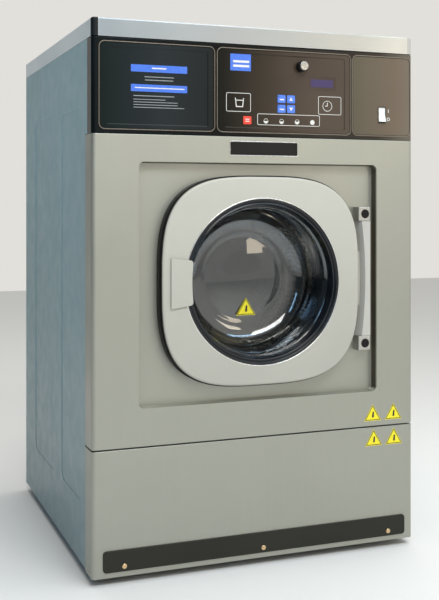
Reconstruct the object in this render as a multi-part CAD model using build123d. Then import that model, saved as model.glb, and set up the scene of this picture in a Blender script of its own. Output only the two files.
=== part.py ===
"""Front-loading washer-extractor for commercial laundries, with a sprung tub.

Millimetres. While it is built, x is measured from the cabinet's middle, y back from the face of the
front panel and z up from the floor. Every sub-part is then moved so that the origin is under the
middle of the whole machine, with +X to the right as seen from the front and the front towards -Y.
"""
import math
import os

from build123d import *

# Cabinet
WIDTH = 686.0
HALF = WIDTH / 2
DEPTH = 690.0
FOOT_H = 15.0
BODY_H = 1047.0
TOP_Z = FOOT_H + BODY_H
LID_H = 35.0
LID_Z = TOP_Z - LID_H
CONSOLE_Z = FOOT_H + 830.5
SEAM_Z = FOOT_H + 240.0
SEAM_GAP = 2.5
SHEET = 2.0
CORNER_R = 8.0
EDGE_R = 1.4
LIP = 16.0
PANEL_WRAP = 53.0
CONSOLE_WRAP = 37.0
CONSOLE_WALL = 3.0
SIDE_LOW = FOOT_H + 4.6
FRONT_REACH = 16.0
REAR_REACH = 40.0
FRONT_Y = FRONT_REACH - (FRONT_REACH + DEPTH + REAR_REACH) / 2

# Recess in the front panel, and the port in its floor
RECESS_X = (-252.5, 257.9)
RECESS_Z = (FOOT_H + 312.0, FOOT_H + 779.0)
RECESS_R = 11.0
RECESS_DEPTH = 19.0
RECESS_TAPER = 7.0
FLOOR_BACK = RECESS_DEPTH + SHEET
PORT_R = 161.0

# Door
DOOR_Z = FOOT_H + 547.8
AXIS_Z = FOOT_H + 545.5
DOOR_HALF_W = 210.0
DOOR_HALF_H = 204.3
DOOR_POWER = 3.3
DOOR_FRONT = -12.0
DOOR_SKIN_BACK = -3.0
DOOR_BACK = 17.0
DOOR_WALL = 4.0
DOOR_EDGE = 4.5
WINDOW_R = 164.0
COLLAR = 4.0

# Door hinge
HINGE_X = 234.0
HINGE_Y = 6.0
HINGE_PIN_R = 4.0
RUNNING = 0.05
BLOCK_X = (213.6, 241.1)
BLOCK_H = 28.8
BLOCK_PITCH = 265.4
BLOCK_FRONT = -4.0

# Handle
HANDLE_X = (-192.9, -148.3)
HANDLE_H = 96.6
HANDLE_AXIS_X = -190.0
HANDLE_AXIS_Y = -2.5
HANDLE_FRONT = -16.0
HANDLE_T = 3.0
HANDLE_WEB_X = (-188.5, -181.0)
HANDLE_WEB_H = 76.0
HOOK_SLOT_X = (-206.0, -168.4)
HOOK_SLOT_Z = (DOOR_Z - 14.0, DOOR_Z + 14.0)

# Tub, drum and drive
TUB_R = 288.0
TUB_WALL = 2.5
TUB_Y = (92.0, 500.0)
TUB_MOUTH_R = 152.0
DRUM_R = 266.0
DRUM_WALL = 1.5
DRUM_Y = (112.0, 470.0)
DRUM_MOUTH_R = 150.0
SHAFT_R = 25.0
PULLEY_Y = (622.0, 642.0)
DRUM_PULLEY_R = 140.0
MOTOR_PULLEY_R = 32.0
MOTOR_Z = 168.0
MOTOR_R = 78.0
MOTOR_Y = (410.0, 590.0)
BELT_T = 4.0
BELT_GAP = 0.3

# Suspension
RAIL_TOP = 72.0
SPRING_X = 250.0
SPRING_Y = (170.0, 430.0)
DAMPER_Y = 300.0
BRACKET_Z = 300.0

# Console bays, as x and z ranges of their outlines
DISPENSER_BAY = ((-328.0, -101.0), (FOOT_H + 840.4, FOOT_H + 1001.8))
CONTROL_BAY = ((-93.0, 196.3), (FOOT_H + 840.4, FOOT_H + 1001.8))
POWER_BAY = ((203.2, 336.5), (FOOT_H + 840.4, FOOT_H + 1001.8))
BAY_R = 9.0
BAY_GAP = 0.6
BEVEL_IN = 11.0

# Controls
BUTTON_X = 86.3
BUTTON_Z = FOOT_H + 974.0
BUTTON_R = 9.0
BEZEL_R = 11.0
KEY_W = 17.5
KEY_H = 16.0
KEY_T = 3.0
KEY_PROUD = 0.9
KEY_CLEAR = 0.4
ROCKER_X = 271.0
ROCKER_Z = FOOT_H + 882.4
ROCKER_W = 15.9
ROCKER_H = 31.6
KEYS = {
    "select_key_upper": (43.2, FOOT_H + 907.7),
    "select_key_lower": (43.2, FOOT_H + 888.1),
    "up_key": (63.9, FOOT_H + 907.7),
    "down_key": (63.9, FOOT_H + 888.1),
    "stop_key": (-30.5, FOOT_H + 863.2),
}

os.makedirs("parts", exist_ok=True)


def save(node, *solids):
    """Write one sub-part, moved from the building position to the machine's own frame."""
    group = solids[0] if len(solids) == 1 else Compound(children=list(solids))
    export_step(Pos(0, FRONT_Y, 0) * group, f"parts/{node}.step")


def block(x, y, z):
    """Box between three pairs of limits."""
    size = [high - low for low, high in (x, y, z)]
    middle = [(high + low) / 2 for low, high in (x, y, z)]
    return Pos(*middle) * Box(*size)


def bar_x(r, x, y, z):
    return Pos(sum(x) / 2, y, z) * Rot(0, 90, 0) * Cylinder(r, x[1] - x[0])


def bar_y(r, y, x=0.0, z=AXIS_Z):
    return Pos(x, sum(y) / 2, z) * Rot(90, 0, 0) * Cylinder(r, y[1] - y[0])


def bar_z(r, z, x, y):
    return Pos(x, y, sum(z) / 2) * Cylinder(r, z[1] - z[0])


def tube_y(r_out, r_in, y, x=0.0, z=AXIS_Z):
    return bar_y(r_out, y, x, z) - bar_y(r_in, (y[0] - 1, y[1] + 1), x, z)


def tube_z(r_out, r_in, z, x, y):
    return bar_z(r_out, z, x, y) - bar_z(r_in, (z[0] - 1, z[1] + 1), x, y)


def turned(points):
    """Solid of revolution about the drum's axis, from (radius, y) points."""
    face = make_face(Polyline(*points, close=True))
    return Pos(0, 0, AXIS_Z) * revolve(face, Axis.Y, 360)


def frame_rect(x, z, r):
    """Rounded rectangle between x and z limits, to be extruded along y."""
    return Pos(sum(x) / 2, sum(z) / 2) * RectangleRounded(x[1] - x[0], z[1] - z[0], r)


def inset(limits, by):
    return limits[0] + by, limits[1] - by


def slab(face, y):
    """Extrude a sketch of x and z between two depths."""
    return Pos(0, y[1], 0) * extrude(Plane.XZ * face, y[1] - y[0])


def plan_block(half, y, z, r):
    """Upright block with its two front corners rounded."""
    plan = Pos(0, sum(y) / 2) * Rectangle(2 * half, y[1] - y[0])
    plan = fillet(plan.vertices().group_by(Axis.Y)[0], r)
    return Pos(0, 0, z[0]) * extrude(plan, z[1] - z[0])


def rim(solid, end):
    """Front and side edges of a block's bottom face (end 0) or top face (end -1)."""
    return solid.faces().sort_by(Axis.Z)[end].edges().sort_by(Axis.Y)[:-1]


def folded_cover(y_back, z, wall):
    """Front cover folded back round both corners, with short lips at its top and bottom."""
    cover = plan_block(HALF, (0, y_back), z, CORNER_R)
    cover = fillet(rim(cover, 0) + rim(cover, -1), EDGE_R)
    cover -= plan_block(HALF - wall, (wall, y_back + 1), inset(z, wall), CORNER_R - wall)
    cover -= block(inset((-HALF, HALF), wall), (LIP, y_back + 1), (z[0] - 1, z[1] + 1))
    return cover


def channel(x, y, z):
    """Folded frame rail, open underneath."""
    long_x = x[1] - x[0] > y[1] - y[0]
    hollow_x = (x[0] - 1, x[1] + 1) if long_x else inset(x, RAIL_WALL)
    hollow_y = inset(y, RAIL_WALL) if long_x else (y[0] - 1, y[1] + 1)
    return block(x, y, z) - block(hollow_x, hollow_y, (z[0] - 1, z[1] - RAIL_WALL))


def superellipse(shrink=0.0, points=40):
    """The door's outline, drawn about its own middle."""
    a, b = DOOR_HALF_W - shrink, DOOR_HALF_H - shrink
    ring = []
    for i in range(points):
        angle = 2 * math.pi * i / points - math.pi / 2
        c, s = math.cos(angle), math.sin(angle)
        r = (abs(c / a) ** DOOR_POWER + abs(s / b) ** DOOR_POWER) ** (-1 / DOOR_POWER)
        ring.append((r * c, r * s))
    return Pos(0, DOOR_Z) * make_face(Spline(*ring, periodic=True))


# ---------------------------------------------------------------- chassis and feet

RAIL_OUT = HALF - 5.0
RAIL_W = 34.0
RAIL_WALL = 4.0
RAIL_Z = (FOOT_H + 2.0, RAIL_TOP)
RAIL_IN = RAIL_OUT - RAIL_W
FRAME_Y = (57.0, 684.0)
POST = 30.0
POST_T = 3.0
DAMPER_SHELF = (60.0, 200.0)
FOOT_X = 272.0
FOOT_Y = (104.0, 638.0)
STEM_R = 6.0
ANCHOR_Y = (132.0, 610.0)
ANCHOR_R = 7.0
TAB_MARGIN = 15.0
TAB_T = 6.0
TOP_RING_Z = (LID_Z - 24.0, LID_Z)


def chassis():
    frame = channel((-RAIL_OUT, -RAIL_IN), FRAME_Y, RAIL_Z)
    frame += channel((RAIL_IN, RAIL_OUT), FRAME_Y, RAIL_Z)
    crossings = [(FRAME_Y[0], FRAME_Y[0] + POST), (FRAME_Y[1] - POST, FRAME_Y[1])]
    crossings += [(y - 35.0, y + 35.0) for y in SPRING_Y]
    for y in crossings:
        frame += channel((-RAIL_IN - 1, RAIL_IN + 1), y, RAIL_Z)
    for side in (-1, 1):
        middle_x = side * SPRING_X
        shelf_x = (middle_x - DAMPER_SHELF[0] / 2, middle_x + DAMPER_SHELF[0] / 2)
        shelf_y = (DAMPER_Y - DAMPER_SHELF[1] / 2, DAMPER_Y + DAMPER_SHELF[1] / 2)
        frame += block(shelf_x, shelf_y, (RAIL_TOP - RAIL_WALL, RAIL_TOP))
        tab_x = sorted((side * (FOOT_X - 20), side * (RAIL_IN + 1)))
        for low, high in ((FOOT_Y[0], ANCHOR_Y[0]), (ANCHOR_Y[1], FOOT_Y[1])):
            tab_y = inset((low, high), -TAB_MARGIN)
            frame += block(tab_x, tab_y, (RAIL_Z[0], RAIL_Z[0] + TAB_T))
        for foot_y, anchor_y in zip(FOOT_Y, ANCHOR_Y):
            frame -= bar_z(STEM_R, (0, RAIL_TOP), side * FOOT_X, foot_y)
            frame -= bar_z(ANCHOR_R, (0, RAIL_TOP), side * FOOT_X, anchor_y)
    for side in (-1, 1):
        for y in (FRAME_Y[0], FRAME_Y[1] - POST):
            front = y == FRAME_Y[0]
            web_y = (y, y + POST_T) if front else (y + POST - POST_T, y + POST)
            outer = sorted((side * RAIL_OUT, side * (RAIL_OUT - POST_T)))
            whole = sorted((side * RAIL_OUT, side * (RAIL_OUT - POST)))
            frame += block(outer, (y, y + POST), (RAIL_TOP, TOP_RING_Z[0]))
            frame += block(whole, web_y, (RAIL_TOP, TOP_RING_Z[0]))
        frame += block(sorted((side * RAIL_OUT, side * (RAIL_OUT - POST))), FRAME_Y, TOP_RING_Z)
    for y in ((FRAME_Y[0], FRAME_Y[0] + POST), (FRAME_Y[1] - POST, FRAME_Y[1])):
        frame += block((-RAIL_OUT, RAIL_OUT), y, TOP_RING_Z)
    return frame


def levelling_foot(x, y):
    """Pad and threaded stem, with the locknut that fixes it under the frame's tab."""
    pad = Pos(x, y, 0) * extrude(Circle(21.0), 8.0)
    pad = fillet(pad.edges().sort_by(Axis.Z)[-1], 3.0)
    nut = Pos(x, y, RAIL_Z[0] + TAB_T) * extrude(RegularPolygon(10.5, 6), 8.0)
    return pad + bar_z(STEM_R, (7.0, 46.0), x, y), nut - bar_z(STEM_R, (0, RAIL_TOP), x, y)


feet = [piece for x in (-FOOT_X, FOOT_X) for y in FOOT_Y for piece in levelling_foot(x, y)]
save("chassis_frame", chassis())
save("levelling_feet", *feet)

# ---------------------------------------------------------------- outer panels

EMBOSS = 1.0
EMBOSS_R = 26.0
EMBOSS_BAYS = (((78.0, 268.0), (138.0, 902.0)), ((330.0, 562.0), (132.0, 908.0)))
SIDE_Y = (PANEL_WRAP + 0.6, DEPTH - SHEET)


def side_panel():
    """Left side panel: a flat sheet with two shallow pressed fields."""
    sheet_x = (-HALF, -HALF + SHEET)
    panel = block(sheet_x, SIDE_Y, (SIDE_LOW, LID_Z - 0.6))
    panel += block(sheet_x, (CONSOLE_WRAP + 0.6, SIDE_Y[0]), (CONSOLE_Z + 0.6, LID_Z - 0.6))
    for y, z in EMBOSS_BAYS:
        field = Pos(sum(y) / 2, sum(z) / 2) * RectangleRounded(y[1] - y[0], z[1] - z[0], EMBOSS_R)
        field = Plane.YZ * field
        panel += Pos(-HALF + SHEET, 0, 0) * extrude(field, EMBOSS, taper=45)
        panel -= Pos(-HALF, 0, 0) * extrude(field, EMBOSS, taper=45)
    return panel


left_side = side_panel()
save("side_panel_left", left_side)
save("side_panel_right", mirror(left_side, about=Plane.YZ))

DRAIN_X, DRAIN_Z, DRAIN_R = -150.0, 125.0, 25.0
DRAIN_PIPE_R = 24.0
DRAIN_SPIGOT = 36.0
INLET_X, INLET_Z, INLET_R = (-235.0, -165.0), 950.0, 13.2
INLET_NECK_R = 12.0
INLET_THREAD = 24.0
INLET_REACH = 26.0
GLAND_X, GLAND_Z = 262.0, 930.0
GLAND_R = 9.8
GLAND_BORE_R = 7.0
LOUVRES = 9
LOUVRE_PITCH = 16.0
LOUVRE_TOP = 760.0
THROUGH_REAR = (DEPTH - 5, DEPTH + 1)


def rear_panel():
    panel = block(inset((-HALF, HALF), 0.2), (DEPTH - SHEET, DEPTH), (SIDE_LOW, LID_Z - 0.6))
    panel -= bar_y(DRAIN_R + 1.0, THROUGH_REAR, DRAIN_X, DRAIN_Z)
    for x in INLET_X:
        panel -= bar_y(INLET_R + 1.0, THROUGH_REAR, x, INLET_Z)
    panel -= bar_y(GLAND_R + 0.2, THROUGH_REAR, GLAND_X, GLAND_Z)
    for i in range(LOUVRES):
        z = LOUVRE_TOP - i * LOUVRE_PITCH
        panel -= slab(frame_rect((-110, 110), (z - 2.5, z + 2.5), 2.4), THROUGH_REAR)
    return panel


save("rear_panel", rear_panel())

LID_EDGE_R = 3.0
TRIM_W = 12.0


def lid_and_trims():
    lid = plan_block(HALF, (0, DEPTH), (LID_Z, TOP_Z), CORNER_R)
    lid = fillet(rim(lid, -1), LID_EDGE_R)
    hollow_y = inset((0, DEPTH), SHEET)
    lid -= plan_block(HALF - SHEET, hollow_y, (LID_Z - 1, TOP_Z - SHEET), CORNER_R - SHEET)
    trims = []
    for side in (-1, 1):
        trim_x = sorted((side * (HALF + 1), side * (HALF - TRIM_W)))
        corner = block(trim_x, (-1, TRIM_W - 1), (LID_Z - 1, TOP_Z + 1))
        trims.append(lid & corner)
        lid -= corner
    return lid, trims


top_lid, corner_trims = lid_and_trims()
save("top_lid", top_lid)
save("lid_corner_trims", *corner_trims)

BADGE_X = (-67.5, 77.5)
BADGE_Z = (FOOT_H + 793.7, FOOT_H + 821.4)
BADGE_SINK = 1.2


def tapered_pan(grow, depth):
    """The recess as a solid plug, narrowing with depth."""
    face = frame_rect(inset(RECESS_X, -grow), inset(RECESS_Z, -grow), RECESS_R + grow)
    return extrude(Plane.XZ * face, -depth, taper=RECESS_TAPER)


def front_panel():
    panel = folded_cover(PANEL_WRAP, (SEAM_Z, CONSOLE_Z), SHEET)
    panel += tapered_pan(SHEET, FLOOR_BACK)
    panel -= tapered_pan(0.0, RECESS_DEPTH)
    panel -= bar_y(PORT_R, (0, FLOOR_BACK + 5))
    panel -= block(HOOK_SLOT_X, (10, FLOOR_BACK + 5), HOOK_SLOT_Z)
    panel -= slab(frame_rect(BADGE_X, BADGE_Z, 2.0), (-1, BADGE_SINK))
    return panel


lower_front = folded_cover(PANEL_WRAP, (FOOT_H, SEAM_Z - SEAM_GAP), SHEET)
save("front_panel", front_panel())
save("lower_front_panel", lower_front)
badge_face = frame_rect(inset(BADGE_X, 1.5), inset(BADGE_Z, 1.5), 1.5)
save("badge_plate", slab(badge_face, (-0.8, BADGE_SINK)))

KICK_X = (-322.0, 323.0)
KICK_Z = (FOOT_H + 10.4, FOOT_H + 51.0)
KICK_SCREW_X = (-281.3, 2.0, 282.9)
KICK_SCREW_Z = FOOT_H + 20.7
KICK_FRONT = -3.0
SCREW_FRONT = -5.2

kick = slab(frame_rect(KICK_X, KICK_Z, 7.0), (KICK_FRONT, 0.0))
kick = fillet(kick.faces().sort_by(Axis.Y)[0].edges(), 1.2)
save("kick_plate", kick)
kick_screws = []
for x in KICK_SCREW_X:
    head = bar_y(5.0, (SCREW_FRONT, KICK_FRONT), x, KICK_SCREW_Z)
    head = fillet(head.faces().sort_by(Axis.Y)[0].edges(), 1.6)
    slot_z = (KICK_SCREW_Z - 0.5, KICK_SCREW_Z + 0.5)
    kick_screws.append(head - block((x - 3.4, x + 3.4), (SCREW_FRONT - 1, SCREW_FRONT + 0.8), slot_z))
save("kick_screws", *kick_screws)

# ---------------------------------------------------------------- console

BAY_FACE = 0.6
BAY_BACK = 8.0
FIELD_STEP = 1.4
FIELD_Y = BAY_FACE + FIELD_STEP
CUT_BAY = (-5.0, 20.0)


def bay_plate(bay, bevel):
    """Panel that fills one bay of the console, with a stepped field where the real one has it."""
    x, z = (inset(side, BAY_GAP) for side in bay)
    plate = slab(frame_rect(x, z, BAY_R), (BAY_FACE, BAY_BACK))
    if bevel:
        field = frame_rect(inset(x, BEVEL_IN), inset(z, BEVEL_IN / 1.6), 5.0)
        plate -= extrude(Plane.XZ.offset(-BAY_FACE) * field, -FIELD_STEP, taper=50)
    return plate


fascia = folded_cover(CONSOLE_WRAP, (CONSOLE_Z, LID_Z - 1.2), CONSOLE_WALL)
for bay_x, bay_z in (DISPENSER_BAY, CONTROL_BAY, POWER_BAY):
    fascia -= slab(frame_rect(bay_x, bay_z, BAY_R + BAY_GAP), CUT_BAY)
save("console_fascia", fascia)

DISPLAY_X = (102.0, 164.0)
DISPLAY_Z = (FOOT_H + 928.0, FOOT_H + 956.0)
DISPLAY_BACK = 5.0
BUTTON_CLEAR = 0.8

control = bay_plate(CONTROL_BAY, True)
control -= bar_y(BUTTON_R + BUTTON_CLEAR, CUT_BAY, BUTTON_X, BUTTON_Z)
control -= slab(frame_rect(DISPLAY_X, DISPLAY_Z, 1.5), CUT_BAY)
for key_x, key_z in KEYS.values():
    opening = frame_rect(
        (key_x - KEY_W / 2 - KEY_CLEAR, key_x + KEY_W / 2 + KEY_CLEAR),
        (key_z - KEY_H / 2 - KEY_CLEAR, key_z + KEY_H / 2 + KEY_CLEAR),
        2.4,
    )
    control -= slab(opening, CUT_BAY)
save("control_panel", control)
window = frame_rect(inset(DISPLAY_X, 0.1), inset(DISPLAY_Z, 0.1), 1.4)
save("display_window", slab(window, (FIELD_Y + 0.1, DISPLAY_BACK)))

for name, (key_x, key_z) in KEYS.items():
    cap_face = frame_rect(
        (key_x - KEY_W / 2, key_x + KEY_W / 2), (key_z - KEY_H / 2, key_z + KEY_H / 2), 2.0
    )
    cap = slab(cap_face, (FIELD_Y - KEY_PROUD, FIELD_Y - KEY_PROUD + KEY_T))
    cap = fillet(cap.faces().sort_by(Axis.Y)[0].edges(), 0.5)
    save(name, cap + bar_y(2.0, (FIELD_Y - KEY_PROUD + KEY_T, 12.0), key_x, key_z))

BEZEL_FRONT = -10.0
BUTTON_FRONT = -15.0
GUIDE_R = BUTTON_R + 0.3

bezel = tube_y(BEZEL_R, GUIDE_R, (BEZEL_FRONT, FIELD_Y), BUTTON_X, BUTTON_Z)
bezel += tube_y(BUTTON_R + BUTTON_CLEAR - 0.1, GUIDE_R, (FIELD_Y, 24.0), BUTTON_X, BUTTON_Z)
save("button_bezel", bezel)
plunger = bar_y(BUTTON_R, (BUTTON_FRONT, 10.0), BUTTON_X, BUTTON_Z)
plunger = fillet(plunger.faces().sort_by(Axis.Y)[0].edges(), 1.2)
save("start_button", plunger)

# The rocker turns on a level pin; its front is a shallow V, and it rests tilted with "on" pressed in.
ROCKER_AXIS_Y = 6.0
ROCKER_TILT = 8.0
ROCKER_PIN_R = 1.5
power = bay_plate(POWER_BAY, False)
surround_x = (ROCKER_X - ROCKER_W / 2 - 1.6, ROCKER_X + ROCKER_W / 2 + 1.6)
surround_z = (ROCKER_Z - ROCKER_H / 2 - 1.6, ROCKER_Z + ROCKER_H / 2 + 1.6)
power += slab(frame_rect(surround_x, surround_z, 1.6), (-1.0, 16.0))
power -= block(inset(surround_x, 1.2), (-4, 15.0), inset(surround_z, 1.0))
power -= bar_x(ROCKER_PIN_R + RUNNING, surround_x, ROCKER_AXIS_Y, ROCKER_Z)
save("power_panel", power)
ROCKER_CHEEK = [(-6.6, -14.8), (-4.4, 0.0), (-6.6, 14.8), (3.0, 10.0), (3.0, -10.0)]
rocker = Plane.YZ * make_face(Polyline(*ROCKER_CHEEK, close=True))
rocker = Pos(ROCKER_X - ROCKER_W / 2, 0, 0) * extrude(rocker, ROCKER_W)
rocker += bar_x(ROCKER_PIN_R, inset((ROCKER_X - ROCKER_W / 2, ROCKER_X + ROCKER_W / 2), -1.4), 0, 0)
rocker = Pos(0, ROCKER_AXIS_Y, ROCKER_Z) * Rot(-ROCKER_TILT, 0, 0) * rocker
save("rocker", rocker)

# ---------------------------------------------------------------- detergent drawer

HOUSING_X = (-306.0, -118.0)
HOUSING_Y = (12.0, 292.0)
HOUSING_Z = (868.0, TOP_RING_Z[0])
DRAWER_Z = (874.0, 978.0)
SPOUT_X, SPOUT_Y, SPOUT_R = -180.0, 200.0, 16.0

housing = block(HOUSING_X, HOUSING_Y, HOUSING_Z)
housing -= block(inset(HOUSING_X, 3.0), (0, HOUSING_Y[1] - 3.0), inset(HOUSING_Z, 3.0))
housing += bar_z(SPOUT_R, (812.0, HOUSING_Z[0] + 1), SPOUT_X, SPOUT_Y)
housing -= bar_z(SPOUT_R - 2.5, (800.0, HOUSING_Z[0] + 5), SPOUT_X, SPOUT_Y)
save("dispenser_housing", housing)

drawer_x = inset(HOUSING_X, 5.0)
drawer_y = (BAY_BACK, 272.0)
drawer = block(drawer_x, drawer_y, DRAWER_Z)
third = (drawer_x[1] - drawer_x[0]) / 3
for i in range(3):
    cell_x = (drawer_x[0] + i * third + 1.5, drawer_x[0] + (i + 1) * third - 1.5)
    drawer -= block(cell_x, inset(drawer_y, 3.0), (DRAWER_Z[0] + 3.0, DRAWER_Z[1] + 1))
save("dispenser_drawer", drawer)
save("dispenser_front", bay_plate(DISPENSER_BAY, True))

# ---------------------------------------------------------------- door

LEAF_Y = (-3.0, 15.0)
LEAF_GAP = 0.5
LEAF_RIGHT = 241.3
LEAF_LEAN = 10.0
block_low = AXIS_Z - BLOCK_PITCH / 2
block_high = AXIS_Z + BLOCK_PITCH / 2
LEAF_Z = (block_low + BLOCK_H / 2 + LEAF_GAP, block_high - BLOCK_H / 2 - LEAF_GAP)
ARM = ((196.0, 228.0), (9.0, 14.0), (AXIS_Z - 55.0, AXIS_Z + 55.0))
TRUNNION_R = 4.0
TRUNNION_Z = (DOOR_Z - 57.0, DOOR_Z + 57.0)
LUG_X = (-198.0, -182.0)
LUG_Y = (DOOR_FRONT + DOOR_WALL - 0.5, 4.0)
LUG_Z = (DOOR_Z - 50.0, DOOR_Z + 50.0)
LUG_H = 8.0
TRAY_WALL = 2.5


def door_frame():
    """Pressed front skin with a collar round the window and two lugs for the handle."""
    shell = slab(superellipse(), (DOOR_FRONT, DOOR_SKIN_BACK))
    shell = fillet(shell.faces().sort_by(Axis.Y)[0].edges(), DOOR_EDGE)
    shell -= slab(superellipse(DOOR_WALL), (DOOR_FRONT + DOOR_WALL, DOOR_SKIN_BACK + 1))
    shell += bar_y(WINDOW_R + COLLAR, (DOOR_FRONT + 1, DOOR_BACK - 5))
    shell -= bar_y(WINDOW_R, (DOOR_FRONT - 1, DOOR_BACK + 1))
    slot_x = inset(HANDLE_WEB_X, -0.6)
    slot_z = (DOOR_Z - HANDLE_WEB_H / 2 - 1, DOOR_Z + HANDLE_WEB_H / 2 + 1)
    shell -= block((slot_x[0] - 3.0, slot_x[1]), (DOOR_FRONT - 1, LUG_Y[0] + 1), slot_z)
    for low in (LUG_Z[0] - LUG_H, LUG_Z[1]):
        shell += block(LUG_X, LUG_Y, (low, low + LUG_H))
    return shell - bar_z(TRUNNION_R + RUNNING, inset(TRUNNION_Z, -2), HANDLE_AXIS_X, HANDLE_AXIS_Y)


save("door_frame", door_frame())

tray = slab(superellipse(), (DOOR_SKIN_BACK, DOOR_BACK))
tray -= slab(superellipse(TRAY_WALL), (DOOR_SKIN_BACK - 1, DOOR_BACK - TRAY_WALL))
tray -= bar_y(TUB_MOUTH_R + 0.5, (0, DOOR_BACK + 1))
tray -= block(HOOK_SLOT_X, (0, DOOR_BACK + 1), HOOK_SLOT_Z)
tray -= block(*ARM)
save("door_back_plate", tray)

ring_points = [(163.8, -10.5), (162.0, -12.6), (158.5, -12.2), (150.0, -1.0), (147.5, 5.8), (163.8, 5.8)]
save("door_ring", turned(ring_points))


def glass_bowl():
    """Flanged bowl: a near-straight wall, a rounded shoulder and a flat bottom with a raised rim."""
    outline = [
        Polyline((0, 105), (76, 105), (84, 101), (98, 99)),
        ThreePointArc((98, 99), (126, 84), (140, 52)),
        Polyline((140, 52), (146, 6), (161.5, 6), (161.5, 11.5), (151, 11.5), (145, 53)),
        ThreePointArc((145, 53), (130, 87.5), (99, 104.2)),
        Polyline((99, 104.2), (85, 106.2), (77, 110), (0, 110), (0, 105)),
    ]
    return Pos(0, 0, AXIS_Z) * revolve(make_face(outline), Axis.Y, 360)


save("door_glass", glass_bowl())


def leaf_face(shift):
    """Leaf outline, hollowed on the left to follow the door."""
    left, crown = 222.0 + shift, 230.0 + shift
    return make_face([
        Line((left, LEAF_Z[0]), (LEAF_RIGHT, LEAF_Z[0])),
        Line((LEAF_RIGHT, LEAF_Z[0]), (LEAF_RIGHT, LEAF_Z[1])),
        Line((LEAF_RIGHT, LEAF_Z[1]), (left, LEAF_Z[1])),
        ThreePointArc((left, LEAF_Z[1]), (crown, AXIS_Z), (left, LEAF_Z[0])),
    ])


front_face = Pos(0, LEAF_Y[0], 0) * (Plane.XZ * leaf_face(0.0))
back_face = Pos(0, LEAF_Y[1], 0) * (Plane.XZ * leaf_face(-LEAF_LEAN))
leaf = loft([front_face, back_face])
leaf += block((ARM[0][0], HINGE_X), ARM[1], ARM[2])
for pin_z in ((LEAF_Z[0] - 1, LEAF_Z[0] + 20), (LEAF_Z[1] - 20, LEAF_Z[1] + 1)):
    leaf -= bar_z(HINGE_PIN_R + RUNNING, pin_z, HINGE_X, HINGE_Y)
save("hinge_leaf", leaf)

hinge_blocks, hinge_pins = [], []
for centre, inward in ((block_low, 1), (block_high, -1)):
    body = block(BLOCK_X, (BLOCK_FRONT, RECESS_DEPTH), (centre - BLOCK_H / 2, centre + BLOCK_H / 2))
    body = fillet(body.faces().sort_by(Axis.Y)[0].edges(), 2.0)
    body -= bar_y(9.25, (BLOCK_FRONT - 1, BLOCK_FRONT + 1.5), 229.0, centre)
    reach = sorted((centre - inward * 8.0, centre + inward * (BLOCK_H / 2 + LEAF_GAP + 17.0)))
    body -= bar_z(HINGE_PIN_R, reach, HINGE_X, HINGE_Y)
    hinge_blocks.append(body)
    hinge_pins.append(bar_z(HINGE_PIN_R, reach, HINGE_X, HINGE_Y))
save("hinge_blocks", *hinge_blocks)
save("hinge_pins", *hinge_pins)

# ---------------------------------------------------------------- handle and latch


BOSS_R = 5.0
HOOK_X = (-190.0, -182.0)
HOOK_Z = (DOOR_Z - 12.0, DOOR_Z + 12.0)
HOOK_BACK = 31.0
SEAT_X = (HANDLE_AXIS_X - BOSS_R - 1, HOOK_X[1] + 1)
SEAT_Y = (HANDLE_AXIS_Y - BOSS_R - 0.5, HANDLE_AXIS_Y + BOSS_R + 0.5)


def handle_plate():
    """Pull plate with a hollow right edge, its web and the trunnions it turns on."""
    low, high = DOOR_Z - HANDLE_H / 2, DOOR_Z + HANDLE_H / 2
    left, right = HANDLE_X
    edge = [
        Line((right, high - 6.0), (left, high)),
        Line((left, high), (left, low)),
        Line((left, low), (right, low + 6.0)),
        ThreePointArc((right, low + 6.0), (right - 3.0, DOOR_Z), (right, high - 6.0)),
    ]
    face = make_face(edge)
    face = fillet(face.vertices().group_by(Axis.X)[-1], 6.0)
    face = fillet(face.vertices().group_by(Axis.X)[0], 1.5)
    plate = slab(face, (HANDLE_FRONT, HANDLE_FRONT + HANDLE_T))
    back = HANDLE_FRONT + HANDLE_T
    corner = Polyline((left - 1, back - 2.1), (left - 1, back + 1), (left + 4.2, back + 1), close=True)
    plate -= Pos(0, 0, low) * extrude(make_face(corner), HANDLE_H)
    web_z = (DOOR_Z - HANDLE_WEB_H / 2, DOOR_Z + HANDLE_WEB_H / 2)
    plate += block(HANDLE_WEB_X, (back - 1, HANDLE_AXIS_Y), web_z)
    plate += bar_z(BOSS_R, inset(LUG_Z, 0.5), HANDLE_AXIS_X, HANDLE_AXIS_Y)
    plate += bar_z(TRUNNION_R, TRUNNION_Z, HANDLE_AXIS_X, HANDLE_AXIS_Y)
    return plate - block(SEAT_X, SEAT_Y, HOOK_Z)


save("handle_plate", handle_plate())
hook = block(HOOK_X, (SEAT_Y[0], HOOK_BACK), HOOK_Z)
hook += block((HOOK_X[0] - 14.0, HOOK_X[0] + 1.0), (HOOK_BACK - 6.0, HOOK_BACK), HOOK_Z)
save("latch_hook", hook)

LOCK_FRONT = FLOOR_BACK + 5.0
lock = block((-222.0, -163.5), (LOCK_FRONT, 54.0), (DOOR_Z - 45.0, DOOR_Z + 45.0))
lock += block((-238.0, -211.0), (FLOOR_BACK, LOCK_FRONT), (DOOR_Z - 45.0, DOOR_Z + 45.0))
lock -= block((-209.0, -166.0), (LOCK_FRONT - 1, 50.0), inset(HOOK_SLOT_Z, -2.0))
save("door_lock", lock)

# ---------------------------------------------------------------- tub

TUB_INLET_Z = 796.0
SUMP_Y = 190.0
SUMP_R = 32.0
RAIL_PLATE = 8.0


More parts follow.
